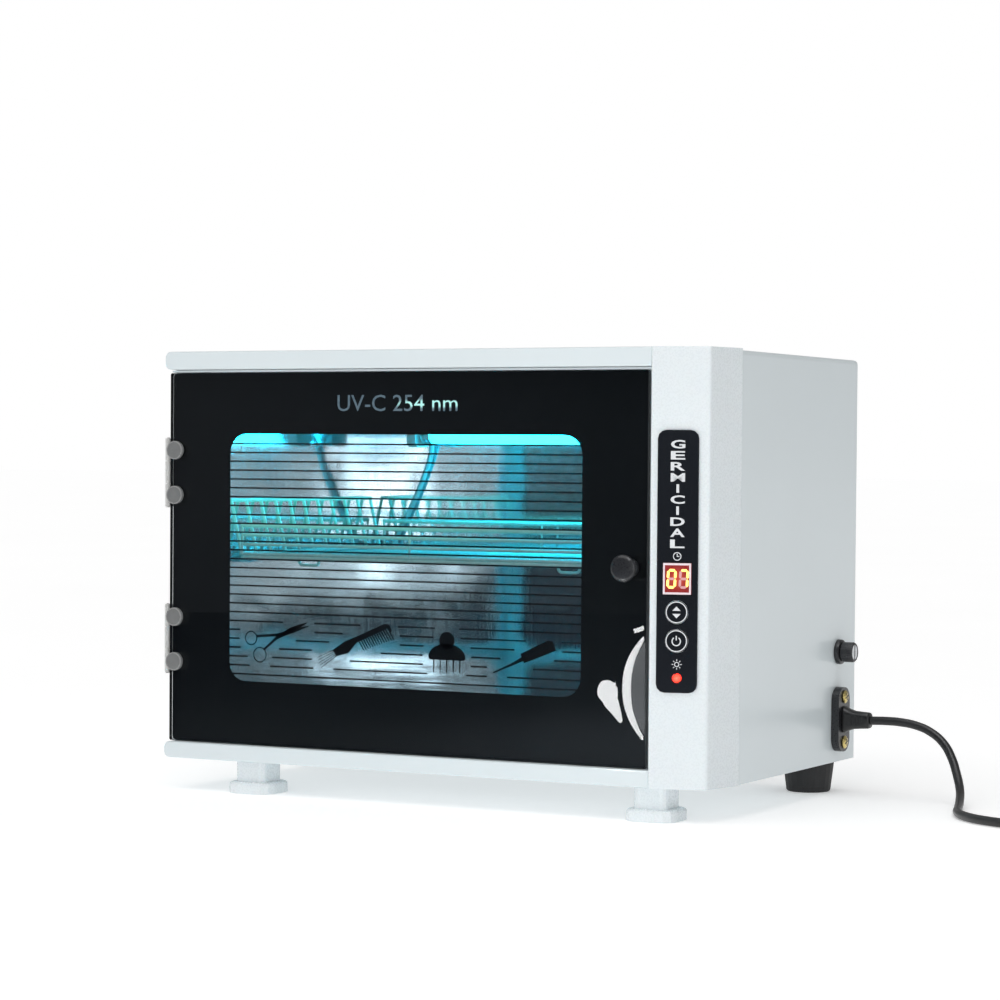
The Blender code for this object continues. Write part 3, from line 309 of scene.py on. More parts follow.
class Shape:
    """Closed solids gathered into one piece, in cabinet millimetres or in a face's own frame."""

    def __init__(self, place=lambda x, y, z: (x, y, z)):
        self.place = place
        self.points = []
        self.faces = []

    def add(self, points, faces):
        start = len(self.points)
        self.points += [self.place(*point) for point in points]
        self.faces += [tuple(start + i for i in face) for face in faces]
        return self

    def rings(self, rings, closed=False):
        """A skin over rings of points, each as long as the others, with flat ends unless it closes."""
        count = len(rings[0])
        points = [point for ring in rings for point in ring]
        faces = []
        spans = len(rings) if closed else len(rings) - 1
        for r in range(spans):
            near_start = r * count
            far_start = (r + 1) % len(rings) * count
            for i in range(count):
                after = (i + 1) % count
                faces.append((near_start + i, near_start + after, far_start + after, far_start + i))
        if not closed:
            faces.append(tuple(reversed(range(count))))
            faces.append(tuple(range((len(rings) - 1) * count, len(rings) * count)))
        return self.add(points, faces)

    def turn(self, profile, centre, axis, sides=48, flute=None):
        """A profile of (distance, radius) turned round an axis; flute(angle) may change the radius."""
        rings = []
        for along, radius in profile:
            ring = []
            for i in range(sides):
                angle = 2 * math.pi * i / sides
                reach = radius * (flute(angle) if flute else 1.0)
                a, b = reach * math.cos(angle), reach * math.sin(angle)
                if axis == "X":
                    ring.append((along, centre[1] + a, centre[2] + b))
                elif axis == "Y":
                    ring.append((centre[0] + b, along, centre[2] + a))
                else:
                    ring.append((centre[0] + a, centre[1] + b, along))
            rings.append(ring)
        return self.rings(rings)

    def slab(self, outline, low, high, axis="Y"):
        """An outline of two coordinates given a thickness along the third."""
        if axis == "X":
            rings = [[(depth, a, b) for a, b in outline] for depth in (low, high)]
        elif axis == "Y":
            rings = [[(a, depth, b) for a, b in outline] for depth in (low, high)]
        else:
            rings = [[(a, b, depth) for a, b in outline] for depth in (low, high)]
        return self.rings(rings)

    def box(self, low, high):
        outline = [(low[0], low[2]), (high[0], low[2]), (high[0], high[2]), (low[0], high[2])]
        return self.slab(outline, low[1], high[1])

    def hoop(self, outer, inner, low, high):
        """A flat ring between two outlines of as many points, thick from low to high along y."""
        rings = [
            [(a, low, b) for a, b in outer],
            [(a, high, b) for a, b in outer],
            [(a, high, b) for a, b in inner],
            [(a, low, b) for a, b in inner],
        ]
        return self.rings(rings, closed=True)

    def wire(self, path, radius, sides=10):
        """A round wire along a path of points."""
        path = [Vector(point) for point in path]
        ways = [(b - a).normalized() for a, b in zip(path, path[1:])]
        ways = [ways[0]] + [(a + b).normalized() for a, b in zip(ways, ways[1:])] + [ways[-1]]
        side = ways[0].orthogonal().normalized()
        rings = []
        for point, way in zip(path, ways):
            side = (side - way * side.dot(way)).normalized()
            up = way.cross(side)
            rings.append([
                tuple(point + side * radius * math.cos(2 * math.pi * i / sides)
                      + up * radius * math.sin(2 * math.pi * i / sides))
                for i in range(sides)
            ])
        return self.rings(rings)

    def build(self, name, look, body, slot, stands_for=(), sharp=35):
        """Makes the piece, which rides on its body and takes its finish from look; slot is not used."""
        mesh = bpy.data.meshes.new(name)
        mesh.from_pydata([at(*point) for point in self.points], [], self.faces)
        shape = bmesh.new()
        shape.from_mesh(mesh)
        bmesh.ops.recalc_face_normals(shape, faces=shape.faces)
        shape.to_mesh(mesh)
        shape.free()
        mesh.polygons.foreach_set("use_smooth", [True] * len(mesh.polygons))
        mesh.set_sharp_from_angle(angle=math.radians(sharp))
        made = bpy.data.objects.new(name, mesh)
        bpy.context.scene.collection.objects.link(made)
        made.data.materials.append(look)
        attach(made, body)
        if stands_for:
            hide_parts(*stands_for)
        return made


def circle(x, z, radius, sides=48):
    return [
        (x + radius * math.cos(2 * math.pi * i / sides), z + radius * math.sin(2 * math.pi * i / sides))
        for i in range(sides)
    ]


def rounded(left, low, right, high, radius, steps=6):
    """A rectangle's outline with round corners, counter-clockwise."""
    corners = (
        (right - radius, low + radius, -90),
        (right - radius, high - radius, 0),
        (left + radius, high - radius, 90),
        (left + radius, low + radius, 180),
    )
    outline = []
    for x, z, start in corners:
        for i in range(steps + 1):
            angle = math.radians(start + 90 * i / steps)
            outline.append((x + radius * math.cos(angle), z + radius * math.sin(angle)))
    return outline


def bent(path, radius, steps=5):
    """A path with each inner corner rounded."""
    path = [Vector(point) for point in path]
    made = [path[0]]
    for before, corner, after in zip(path, path[1:], path[2:]):
        back = (before - corner).normalized()
        ahead = (after - corner).normalized()
        reach = min(radius, (before - corner).length / 2.1, (after - corner).length / 2.1)
        start, end = corner + back * reach, corner + ahead * reach
        for i in range(steps + 1):
            t = i / steps
            made.append(start * (1 - t) ** 2 + corner * 2 * t * (1 - t) + end * t**2)
    return made + [path[-1]]


def stroke(points, half_widths):
    """The outline of a flat stroke along points, as wide as given at each."""
    points = [Vector(point) for point in points]
    left, right = [], []
    for i, (point, half) in enumerate(zip(points, half_widths)):
        way = (points[min(i + 1, len(points) - 1)] - points[max(i - 1, 0)]).normalized()
        across = Vector((-way.y, way.x)) * half
        left.append(tuple(point + across))
        right.append(tuple(point - across))
    return right + left[::-1]


def lettering(shape, text, left, low, width, height, front, back, weight=0.0):
    """Adds plain letters that fill a rectangle, front and back being their faces' y; weight thickens
    the strokes."""
    curve = bpy.data.curves.new("lettering", "FONT")
    curve.body = text
    curve.extrude = 0.5
    curve.resolution_u = 3
    curve.offset = weight
    holder = bpy.data.objects.new("lettering", curve)
    bpy.context.scene.collection.objects.link(holder)
    graph = bpy.context.evaluated_depsgraph_get()
    mesh = bpy.data.meshes.new_from_object(holder.evaluated_get(graph))
    xs = [v.co.x for v in mesh.vertices]
    ys = [v.co.y for v in mesh.vertices]
    x_size, y_size = max(xs) - min(xs), max(ys) - min(ys)
    points = [
        (
            left + (v.co.x - min(xs)) / x_size * width,
            front if v.co.z > 0 else back,
            low + (v.co.y - min(ys)) / y_size * height,
        )
        for v in mesh.vertices
    ]
    shape.add(points, [tuple(polygon.vertices) for polygon in mesh.polygons])
    bpy.data.objects.remove(holder)
    bpy.data.meshes.remove(mesh)


# ---------------------------------------------------------------- door

WINDOW = (43.8, 70.9, 295.6, 228.6)
GLASS_BACK = high_mm("door_glass").y
PRINT_Y = (GLASS_BACK + 0.03, GLASS_BACK + 0.11)
LINE_TOP, LINE_PITCH, LINE_HALF, LINE_COUNT = 222.4, 5.65, 0.5, 27
LINE_CLEAR = 4.2


def scissors():
    """Open scissors: two finger rings, two shanks and a pair of nearly closed blades."""
    rings = [((60.5, 98.6), 4.6, 3.9), ((67.2, 88.2), 5.0, 4.3)]
    shapes = [
        stroke([(64.8, 100.0), (80.0, 101.2), (83.0, 101.8)], [0.7, 0.9, 1.0]),
        stroke([(70.4, 91.8), (79.0, 98.8), (83.0, 101.2)], [0.7, 0.9, 1.0]),
        stroke([(79.0, 98.9), (91.0, 105.0), (102.5, 109.8)], [0.9, 1.7, 0.2]),
        stroke([(79.5, 100.6), (91.0, 104.2), (103.5, 107.6)], [0.9, 1.6, 0.2]),
    ]
    return rings, shapes


def fork_comb():
    """A comb whose far half has teeth and whose handle ends in a lifting fork."""
    slope = Vector((54, 21)).normalized()
    down = Vector((slope.y, -slope.x))
    start = Vector((123, 92.6))

    def along(a, b):
        return tuple(start + slope * a + down * b)

    shapes = [
        [along(0, 3.4), along(-1.5, -1.2), along(8, -3.2), along(20, -3.4), along(40, -4.0),
         along(43, -2.5), along(43.6, 2), along(42.2, 2.6), along(41, -0.6), along(17, 0.2), along(9, 4.4)],
    ]
    for i in range(14):
        reach = 18.6 + 1.75 * i
        shapes.append(stroke([along(reach, -0.8), along(reach + 1.6, 6.4 + 0.07 * i)], [0.5, 0.3]))
    for i in range(5):
        lift = -1.0 + 1.0 * i
        shapes.append(stroke([along(1.0, lift), along(-13.5, lift * 1.75 + 1.2)], [0.3, 0.16]))
    return [], shapes


def pick_brush():
    """A round-handled brush seen from the front, with a few long pins."""
    x, z = 203.5, 96.6
    turns = [math.pi * i / 16 for i in range(17)]
    dome = [(x + 13.0 * math.cos(turn), z - 5.0 + 8.6 * math.sin(turn)) for turn in turns]
    shapes = [dome + [(x - 12.2, z - 6.6), (x + 12.2, z - 6.6)], circle(x, z + 5.4, 5.4, 28)]
    for i in range(5):
        reach = x + 4.6 * (i - 2)
        shapes.append(stroke([(reach, z - 6.0), (reach, z - 14.2)], [0.5, 0.3]))
    return [], shapes


def tail_comb():
    """A short comb blade on a long thin tail."""
    return [], [
        stroke([(236.0, 83.6), (249.0, 89.2), (258.0, 93.6)], [0.45, 0.8, 1.4]),
        [(257.2, 90.2), (279.0, 98.6), (276.6, 104.2), (273.2, 104.6), (254.8, 95.8)],
    ]


ICONS = [scissors(), fork_comb(), pick_brush(), tail_comb()]


def edge_points(outline):
    """Points a millimetre or less apart round an outline."""
    found = []
    for a, b in zip(outline, outline[1:] + outline[:1]):
        steps = max(1, math.ceil(math.dist(a, b)))
        found += [(a[0] + (b[0] - a[0]) * i / steps, a[1] + (b[1] - a[1]) * i / steps) for i in range(steps)]
    return found


def clear_runs(z):
    """The runs of a level line at height z that keep clear of the tools printed on the window."""
    taken = []
    for rings, shapes in ICONS:
        outlines = [circle(*ring[0], ring[1], 32) for ring in rings] + shapes
        xs = [x for outline in outlines for x, level in edge_points(outline) if abs(level - z) < LINE_CLEAR]
        if xs:
            taken.append((min(xs) - LINE_CLEAR, max(xs) + LINE_CLEAR))
    runs, start = [], WINDOW[0] - 1
    for low, high in sorted(taken):
        runs.append((start, low))
        start = high
    runs.append((start, WINDOW[2] + 1))
    return [(low, high) for low, high in runs if high - low > 3]


def window_print():
    """The level lines and the four tool shapes printed on the glass's back."""
    lines = Shape()
    for i in range(LINE_COUNT):
        z = LINE_TOP - LINE_PITCH * i
        for low, high in clear_runs(z):
            lines.box((low, PRINT_Y[0], z - LINE_HALF), (high, PRINT_Y[1], z + LINE_HALF))
    lines.build("window_lines", LOOKS["black_print"], "door", "black_print")
    for name, (rings, shapes) in zip(("scissors", "fork_comb", "pick_brush", "tail_comb"), ICONS):
        tool = Shape()
        for centre, outer, inner in rings:
            tool.hoop(circle(*centre, outer, 32), circle(*centre, inner, 32), *PRINT_Y)
        for outline in shapes:
            tool.slab(outline, *PRINT_Y)
        tool.build("print_" + name, LOOKS["black_print"], "door", "black_print")


def door_word():
    """A generic lamp label in the mask: silver letters with a painted glow, faint at the left, and a bright
    painted cyan glint towards the right, in place of the lit tube showing through.
    """
    word = Shape()
    lettering(word, "UV-C 254 nm", 123.8, 243.0, 86.0, 10.2, PRINT_Y[0], PRINT_Y[1])
    word.build("door_label", EXTRA["letter_painted_glow"], "door", "black_print")


def door_backing():
    """The pale foil behind the print, which the chamber's back mirror shows as a light border."""
    backing = Shape()
    back = high_mm("door_mask").y
    outer = rounded(18, 44, 324, 254, 14)
    inner = rounded(WINDOW[0] - 0.2, WINDOW[1] - 0.2, WINDOW[2] + 0.2, WINDOW[3] + 0.2, 12)
    backing.hoop(outer, inner, back + 0.05, back + 0.2)
    backing.build("door_backing", EXTRA["pale_foil"], "door", "black_print")


def door_edge():
    """The black edge paint round the glass."""
    paint = Shape()
    low, high = low_mm("door_glass"), high_mm("door_glass")
    inner = rounded(low.x + 0.02, low.z + 0.02, high.x - 0.02, high.z - 0.02, 1.0)
    outer = rounded(low.x - 0.8, low.z - 0.12, high.x + 0.12, high.z + 0.12, 1.1)
    paint.hoop(outer, inner, low.y - 0.02, high.y + 0.02)
    paint.build("door_edge", LOOKS["black_print"], "door", "black_print")


def rear_screws():
    """Pan-head screws that hold the rear panel, each with a cross slot."""
    low, high = low_mm("rear_panel"), high_mm("rear_panel")
    for i, x in enumerate((low.x + 9, (low.x + high.x) / 2, high.x - 9)):
        for j, z in enumerate((low.z + 8, high.z - 8)):
            head = Shape()
            profile = [(high.y - 0.4, 0.05), (high.y - 0.4, 3.0), (high.y + 0.5, 2.95), (high.y + 1.1, 2.5),
                       (high.y + 1.4, 1.6), (high.y + 1.45, 0.05)]
            head.turn(profile, (x, 0, z), "Y", 32)
            head.build(f"rear_screw_{i}_{j}", LOOKS["plug_metal"], "cabinet", "white_paint")
            cross = Shape()
            for turn in (35, 125):
                way = math.radians(turn)
                ends = [(x + s * 1.5 * math.cos(way), z + s * 1.5 * math.sin(way)) for s in (-1, 1)]
                cross.slab(stroke(ends, [0.3, 0.3]), high.y + 1.1, high.y + 1.5)
            cross.build(f"rear_screw_slot_{i}_{j}", LOOKS["black_print"], "cabinet", "white_paint")


def door_knob():
    """A mushroom knob on a waisted neck, with its threaded stud through the glass."""
    low, high = low_mm("door_knob"), high_mm("door_knob")
    x, z = (low.x + high.x) / 2, (low.z + high.z) / 2
    face, radius = low.y, (high.x - low.x) / 2
    profile = [(face, 0.05), (face + 0.15, radius * 0.42), (face + 0.7, radius * 0.72),
               (face + 1.6, radius * 0.93), (face + 2.9, radius), (face + 4.0, radius * 0.985),
               (face + 5.0, radius * 0.9),
               (face + 5.9, radius * 0.72), (face + 6.8, radius * 0.58), (face + 8.2, radius * 0.5),
               (face + 10.4, radius * 0.5), (face + 11.8, radius * 0.58), (face + 12.6, radius * 0.64),
               (face + 13.8, radius * 0.66), (-0.3, radius * 0.64), (-0.3, 1.8), (high.y, 1.8)]
    knob = Shape()
    knob.turn(profile, (x, 0, z), "Y", 64)
    knob.build("knob", LOOKS["black_plastic"], "door", "black_plastic", ["door_knob"], 50)
    nut = Shape()
    nut.slab(circle(x, z, 4.2, 6), GLASS_BACK + 1.1, GLASS_BACK + 3.0)
    nut.build("knob_nut", LOOKS["chrome"], "door", "chrome")


def clamp_caps():
    """The hinge clamps' satin heads: a flat disc with a turned edge, and on that edge a lighter hoop that is
    a painted highlight.
    """
    for which in ("upper_top", "upper_bottom", "lower_top", "lower_bottom"):
        node = "clamp_cap_" + which
        low, high = low_mm(node), high_mm(node)
        x, z = (low.x + high.x) / 2, (low.z + high.z) / 2
        radius = (high.x - low.x) / 2
        front, back = low.y, -0.3
        profile = [(front, 0.05), (front, radius - 1.15), (front + 0.12, radius - 0.75),
                   (front + 0.45, radius - 0.3), (front + 0.9, radius - 0.05), (front + 1.2, radius),
                   (back - 0.25, radius), (back, radius - 0.25), (back, 1.5), (high.y, 1.5)]
        cap = Shape()
        cap.turn(profile, (x, 0, z), "Y", 64)
        cap.build("clamp_head_" + which, EXTRA["clamp_metal"], "door", "chrome", [node], 40)
        # A lighter hoop on the turned edge: painted highlight.
        edge = Shape()
        outer, inner = circle(x, z, radius - 0.12, 64), circle(x, z, radius - 0.75, 64)
        edge.hoop(outer, inner, front - 0.04, front + 0.75)
        edge.build("clamp_edge_" + which, EXTRA["clamp_edge"], "door", "chrome", (), 60)


# ---------------------------------------------------------------- control panel

FACE_TURN = math.atan2(FACE_END[1] - FACE_START[1], FACE_END[0] - FACE_START[0])
FILM_OUT, BUTTON_OUT, DISPLAY_OUT = 1.3, 1.9, 1.6
BUTTON_S, BUTTON_R = 16.9, 6.7
BUTTONS = {"select_button": 124.7, "power_button": 107.8}
DISPLAY = (8.7, 135.3, 25.2, 153.5)
LED = (17.2, 85.9)
INK = 0.06


def on_face(s, y, z):
    """From the control face's frame, x along the face and -y out of it, to cabinet coordinates."""
    return (
        FACE_START[0] + s * math.cos(FACE_TURN) - y * math.sin(FACE_TURN),
        FACE_START[1] + s * math.sin(FACE_TURN) + y * math.cos(FACE_TURN),
        z,
    )


def ink(out):
    """The front and back of a printed layer that lies out from the face."""
    return -out - INK, -out - 0.005


def panel_label():
    """The label reads downwards, one wide upright character below another."""
    label = Shape(on_face)
    pitch, width, height, top = 6.5, 8.6, 5.0, 226.0
    middle = BUTTON_S
    for i, letter in enumerate("GERMICIDAL"):
        low = top - pitch * i - height
        if letter == "I":
            left, right = middle - 0.8, middle + 0.8
            bar = [(left, low), (right, low), (right, low + height), (left, low + height)]
            label.slab(bar, *ink(FILM_OUT))
        else:
            lettering(label, letter, middle - width / 2, low, width, height, *ink(FILM_OUT), 0.025)
    label.build("panel_label", EXTRA["white_print"], "cabinet", "panel_film")


def small_marks():
    """A clock over the display and a lamp sign over the pilot light."""
    marks = Shape(on_face)
    x, z, radius = 16.9, 157.6, 2.5
    marks.hoop(circle(x, z, radius, 32), circle(x, z, radius - 0.5, 32), *ink(FILM_OUT))
    marks.slab(stroke([(x, z - 0.2), (x, z + 1.6)], [0.24, 0.24]), *ink(FILM_OUT))
    marks.slab(stroke([(x - 0.2, z), (x + 1.3, z)], [0.24, 0.24]), *ink(FILM_OUT))
    x, z = LED[0], 94.0
    marks.hoop(circle(x, z, 1.5, 28), circle(x, z, 1.05, 28), *ink(FILM_OUT))
    for i in range(8):
        way = (math.cos(math.pi * i / 4), math.sin(math.pi * i / 4))
        ray = [(x + reach * way[0], z + reach * way[1]) for reach in (2.0, 3.0)]
        marks.slab(stroke(ray, [0.22, 0.22]), *ink(FILM_OUT))
    marks.build("panel_marks", EXTRA["white_print"], "cabinet", "panel_film")


def arc(x, z, radius, start, end, half, steps=20):
    """A flat arc's outline, from one angle to another in degrees."""
    turns = [math.radians(start + (end - start) * i / steps) for i in range(steps + 1)]
    outer = [(x + (radius + half) * math.cos(t), z + (radius + half) * math.sin(t)) for t in turns]
    inner = [(x + (radius - half) * math.cos(t), z + (radius - half) * math.sin(t)) for t in turns]
    return outer + inner[::-1]


def buttons():
    """The two buttons: a film-covered disc, a printed ring, and a sign on each."""
    for body, z in BUTTONS.items():
        disc = Shape(on_face)
        profile = [(-BUTTON_OUT, 0.05), (-BUTTON_OUT, BUTTON_R - 0.25), (-BUTTON_OUT + 0.1, BUTTON_R - 0.08),
                   (-BUTTON_OUT + 0.3, BUTTON_R), (-1.0, BUTTON_R), (-1.0, 1.6), (3.2, 1.6)]
        disc.turn(profile, (BUTTON_S, 0, z), "Y", 64)
        disc.build(body.replace("_button", "_disc"), LOOKS["panel_film"], body, "panel_film", [body], 30)
        sign = Shape(on_face)
        sign.hoop(circle(BUTTON_S, z, 6.42, 64), circle(BUTTON_S, z, 5.82, 64), *ink(BUTTON_OUT))
        if body == "power_button":
            sign.slab(arc(BUTTON_S, z - 0.2, 2.5, 125, 415, 0.34), *ink(BUTTON_OUT))
            sign.slab(stroke([(BUTTON_S, z + 0.4), (BUTTON_S, z + 3.1)], [0.34, 0.34]), *ink(BUTTON_OUT))
        else:
            for side in (-1, 1):
                sign.slab([(BUTTON_S - 2.5, z + side * 0.9), (BUTTON_S + 2.5, z + side * 0.9),
                           (BUTTON_S, z + side * 3.5)], *ink(BUTTON_OUT))
        sign.build(body.replace("_button", "_sign"), EXTRA["white_print"], body, "panel_film")


SEGMENTS = {
    "top": ((0, 2), (1, 2)),
    "upper_left": ((0, 1), (0, 2)),
    "upper_right": ((1, 1), (1, 2)),
    "middle": ((0, 1), (1, 1)),
    "lower_left": ((0, 0), (0, 1)),
    "lower_right": ((1, 0), (1, 1)),
    "bottom": ((0, 0), (1, 0)),
}
LIT = (
    ("top", "upper_left", "upper_right", "lower_left", "lower_right", "bottom"),
    ("top", "upper_right", "lower_right"),
)


def digits():
    """Two seven-segment figures behind the display's rim, showing the minutes left."""
    s0, z0, s1, z1 = DISPLAY
    rim = Shape(on_face)
    rim.hoop([(s0 - 0.1, z0 - 0.1), (s1 + 0.1, z0 - 0.1), (s1 + 0.1, z1 + 0.1), (s0 - 0.1, z1 + 0.1)],
             [(s0 + 1.0, z0 + 1.1), (s1 - 1.0, z0 + 1.1), (s1 - 1.0, z1 - 1.1), (s0 + 1.0, z1 - 1.1)],
             *ink(DISPLAY_OUT))
    rim.build("display_rim", EXTRA["display_rim"], "cabinet", "display")
    width, half_height, half, slant = 4.3, 5.0, 0.75, 0.05
    lit, dark = Shape(on_face), Shape(on_face)
    for left, on in zip((s0 + 2.6, s0 + 9.9), LIT):
        low = (z0 + z1) / 2 - half_height
        for name, ends in SEGMENTS.items():
            a, b = [Vector((left + x * width + slant * z * half_height, low + z * half_height))
                    for x, z in ends]
            way = (b - a).normalized()
            across = Vector((-way.y, way.x)) * half
            a, b = a + way * 0.18, b - way * 0.18
            inset = way * half
            outline = [a, a + inset - across, b - inset - across, b, b - inset + across, a + inset + across]
            (lit if name in on else dark).slab([tuple(p) for p in outline], *ink(DISPLAY_OUT))
    lit.build("digits_lit", EXTRA["digit_lit"], "cabinet", "display")
    dark.build("digits_dark", EXTRA["digit_dark"], "cabinet", "display")


# ---------------------------------------------------------------- chamber

BASKET = (44.0, 14.0, 297.0, 192.0)
BASKET_Z, SIDE_TOP, SIDE_FLARE, LOW_TOP = 149.3, 186.0, 8.0, 170.0
SIDE_WIRES, LOW_WIRES = 11, 4


def basket_bottom():
    """The bottom frame, its cross wires and stays, and four bent feet."""
    left, front, right, rear = BASKET
    z = BASKET_Z
    wires = Shape()
    loop = [(x, y, z) for x, y in rounded(left, front, right, rear, 5, 4)]
    wires.wire(loop + loop[:2], 1.4, 12)
    for i in range(1, 24):
        y = front + (rear - front) * i / 24
        wires.wire([(left, y, z + 0.7), (right, y, z + 0.7)], 0.7, 8)
    for x in (left + 42, left + 84, left + 126, right - 84, right - 42):
        wires.wire([(x, front, z - 0.6), (x, rear, z - 0.6)], 1.0, 8)
    for x in (76, 265):
        for y in (front + 33, rear - 26):
            foot = [(x - 8, y, z - 0.3), (x - 7, y, z - 5.3), (x + 7, y, z - 5.3), (x + 8, y, z - 0.3)]
            wires.wire(bent(foot, 2.5), 0.95, 10)
    wires.build("wire_floor", LOOKS["basket_wire"], "basket", "basket_wire", ["basket_bottom"], 60)


def basket_ends():
    """The low front and rear walls: level wires one above another, on end posts."""
    left, front, right, rear = BASKET
    low = BASKET_Z + 2.5
    for name, y in (("front", front), ("rear", rear)):
        wall = Shape()
        for i in range(LOW_WIRES):
            z = low + (LOW_TOP - low) * i / (LOW_WIRES - 1)
            wall.wire([(left + 1.6, y, z), (right - 1.6, y, z)], 1.3 if i == LOW_WIRES - 1 else 1.0, 10)
        for x in (left + 2.6, (left + right) / 2, right - 2.6):
            wall.wire([(x, y - 0.5, BASKET_Z + 2.1), (x, y - 0.5, LOW_TOP + 0.4)], 0.8, 8)
        wall.build("wire_" + name, LOOKS["basket_wire"], "basket", "basket_wire", ["basket_" + name], 60)


def basket_sides():
    """The tall sides of upright wires that lean outwards, each with a level wire at foot and top."""
    left, front, right, rear = BASKET
    low = BASKET_Z + 2.7
    for name, x, side in (("left", left, -1), ("right", right, 1)):
        wall = Shape()
        top_x = x + side * SIDE_FLARE
        ends = (front + 1.4, rear - 1.4)
        wall.wire([(x, ends[0], low), (x, ends[1], low)], 1.1, 10)
        wall.wire([(top_x, ends[0], SIDE_TOP - 0.2), (top_x, ends[1], SIDE_TOP - 0.2)], 1.2, 10)
        for i in range(SIDE_WIRES):
            y = front + 2.4 + (rear - front - 4.8) * i / (SIDE_WIRES - 1)
            path = [(x - side * 0.2, y, low - 0.6), (x, y, low + 1), (top_x, y, SIDE_TOP)]
            wall.wire(bent(path, 2), 1.15, 10)
        wall.build("wire_" + name, LOOKS["basket_wire"], "basket", "basket_wire", ["basket_" + name], 60)


def lamp():
    """The tube: clear glowing glass between pressed end caps, with two contact pins at each end."""
    low, high = low_mm("uv_lamp"), high_mm("uv_lamp")
    y, z, radius = (low.y + high.y) / 2, (low.z + high.z) / 2, (high.z - low.z) / 2
    tube = Shape()
    cap = 8.0
    tube.turn([(low.x + cap, 3.0), (low.x + cap, radius - 0.9), (low.x + cap + 2.5, radius - 0.25),
               (high.x - cap - 2.5, radius - 0.25), (high.x - cap, radius - 0.9), (high.x - cap, 3.0)],
              (0, y, z), "X", 48)
    tube.build("tube_glass", LOOKS["lamp_glass"], "cabinet", "lamp_glass", ["uv_lamp"], 40)
    ends = Shape()
    for end, way in ((low.x, 1), (high.x, -1)):
        ends.turn([(end + way * 0.9, radius * 0.55), (end + way * 0.9, radius * 0.86),
                   (end + way * 1.6, radius * 0.97), (end + way * (cap - 0.6), radius),
                   (end + way * (cap + 0.3), radius * 0.97),
                   (end + way * (cap + 0.3), radius * 0.5)], (0, y, z), "X", 40)
        for side in (-1, 1):
            ends.wire([(end, y, z + side * 3.1), (end + way * 3, y, z + side * 3.1)], 1.1, 10)
    ends.build("tube_caps", EXTRA["cap_metal"], "cabinet", "lamp_glass")


# ---------------------------------------------------------------- fuse and inlet

INLET_Y, INLET_Z, GRIP_END = 189.6, 48.2, 409.5


def fuse():
    """The fuse holder's fluted cap with a coin slot in its bright end, and the flanged barrel round it."""
    low, high = low_mm("fuse_cap"), high_mm("fuse_cap")
    y, z = (low.y + high.y) / 2, (low.z + high.z) / 2
    radius = (high.y - low.y) / 2
    start = high_mm("fuse_holder").x + 0.3
    cap = Shape()
    profile = [(low.x, 3.9), (start, 3.9), (start, radius - 0.5), (start + 0.5, radius),
               (high.x - 1.3, radius), (high.x - 0.5, radius - 0.35),
               (high.x - 0.1, radius - 0.9), (high.x - 0.1, radius - 1.3),
               (high.x - 0.9, radius - 1.4), (high.x - 0.9, 0.1)]

    def flute(angle):
        return 1.0 - 0.022 * (1 + math.cos(28 * angle)) / 2

    cap.turn(profile, (0, y, z), "X", 224, flute)
    cap.build("fuse_knob", LOOKS["black_plastic"], "fuse_cap", "black_plastic", ["fuse_cap"], 30)
    face = Shape()
    for side in (-1, 1):
        outline = [(y + side * 0.75, z - 4.6), (y + side * 0.75, z + 4.6)]
        for i in range(13):
            angle = math.radians(80 - 160 * i / 12)
            outline.append((y + side * 4.7 * math.cos(angle), z + 4.7 * math.sin(angle)))
        face.slab(outline, high.x - 0.95, high.x - 0.35, "X")
    face.build("fuse_knob_face", EXTRA["slot_metal"], "fuse_cap", "black_plastic")
    low, high = low_mm("fuse_holder"), high_mm("fuse_holder")
    wall = high_mm("case_shell").x + 0.3
    barrel = Shape()
    inside = 4.4
    profile = [(low.x, inside), (low.x, 5.2), (low.x + 1, 5.8), (wall, 5.8), (wall, 8.0), (wall + 1.9, 8.0),
               (wall + 2.6, 7.75), (high.x, 7.0), (high.x, inside + 0.6), (high.x - 0.7, inside)]
    turns = [2 * math.pi * i / 64 for i in range(64)]
    rings = []
    for along, reach in profile:
        rings.append([(along, y + reach * math.cos(turn), z + reach * math.sin(turn)) for turn in turns])
    barrel.rings(rings, closed=True)
    barrel.build("fuse_barrel", LOOKS["black_plastic"], "cabinet", "black_plastic", ["fuse_holder"], 35)


def middle_of(node):
    """A node's middle as (x, y, z), in cabinet millimetres."""
    return (low_mm(node) + high_mm(node)) / 2


def inlet():
    """The inlet's two brass cross-slot screws."""
    high = high_mm("inlet_socket")
    for which in ("upper", "lower"):
        node = "inlet_screw_" + which
        middle = middle_of(node)
        radius = (high_mm(node).y - low_mm(node).y) / 2
        face = high.x + 0.3
        profile = [(face - 4.0, 1.5), (face, 1.5), (face, radius - 0.1), (face + 0.5, radius),
                   (face + 1.1, radius - 0.7), (face + 1.5, radius * 0.5),
                   (face + 1.6, radius * 0.2), (face + 1.6, 0.05)]
        screw = Shape()
        screw.turn(profile, (0, middle.y, middle.z), "X", 40)
        screw.build("inlet_bolt_" + which, LOOKS["brass"], "cabinet", "brass", [node], 40)
        cross = Shape()
        for turn in (20, 110):
            way = math.radians(turn)
            ends = [(middle.y + s * 2.3 * math.cos(way), middle.z + s * 2.3 * math.sin(way)) for s in (-1, 1)]
            cross.slab(stroke(ends, [0.4, 0.4]), face + 1.2, face + 1.66, "X")
        cross.build("inlet_bolt_slot_" + which, LOOKS["black_print"], "cabinet", "brass")


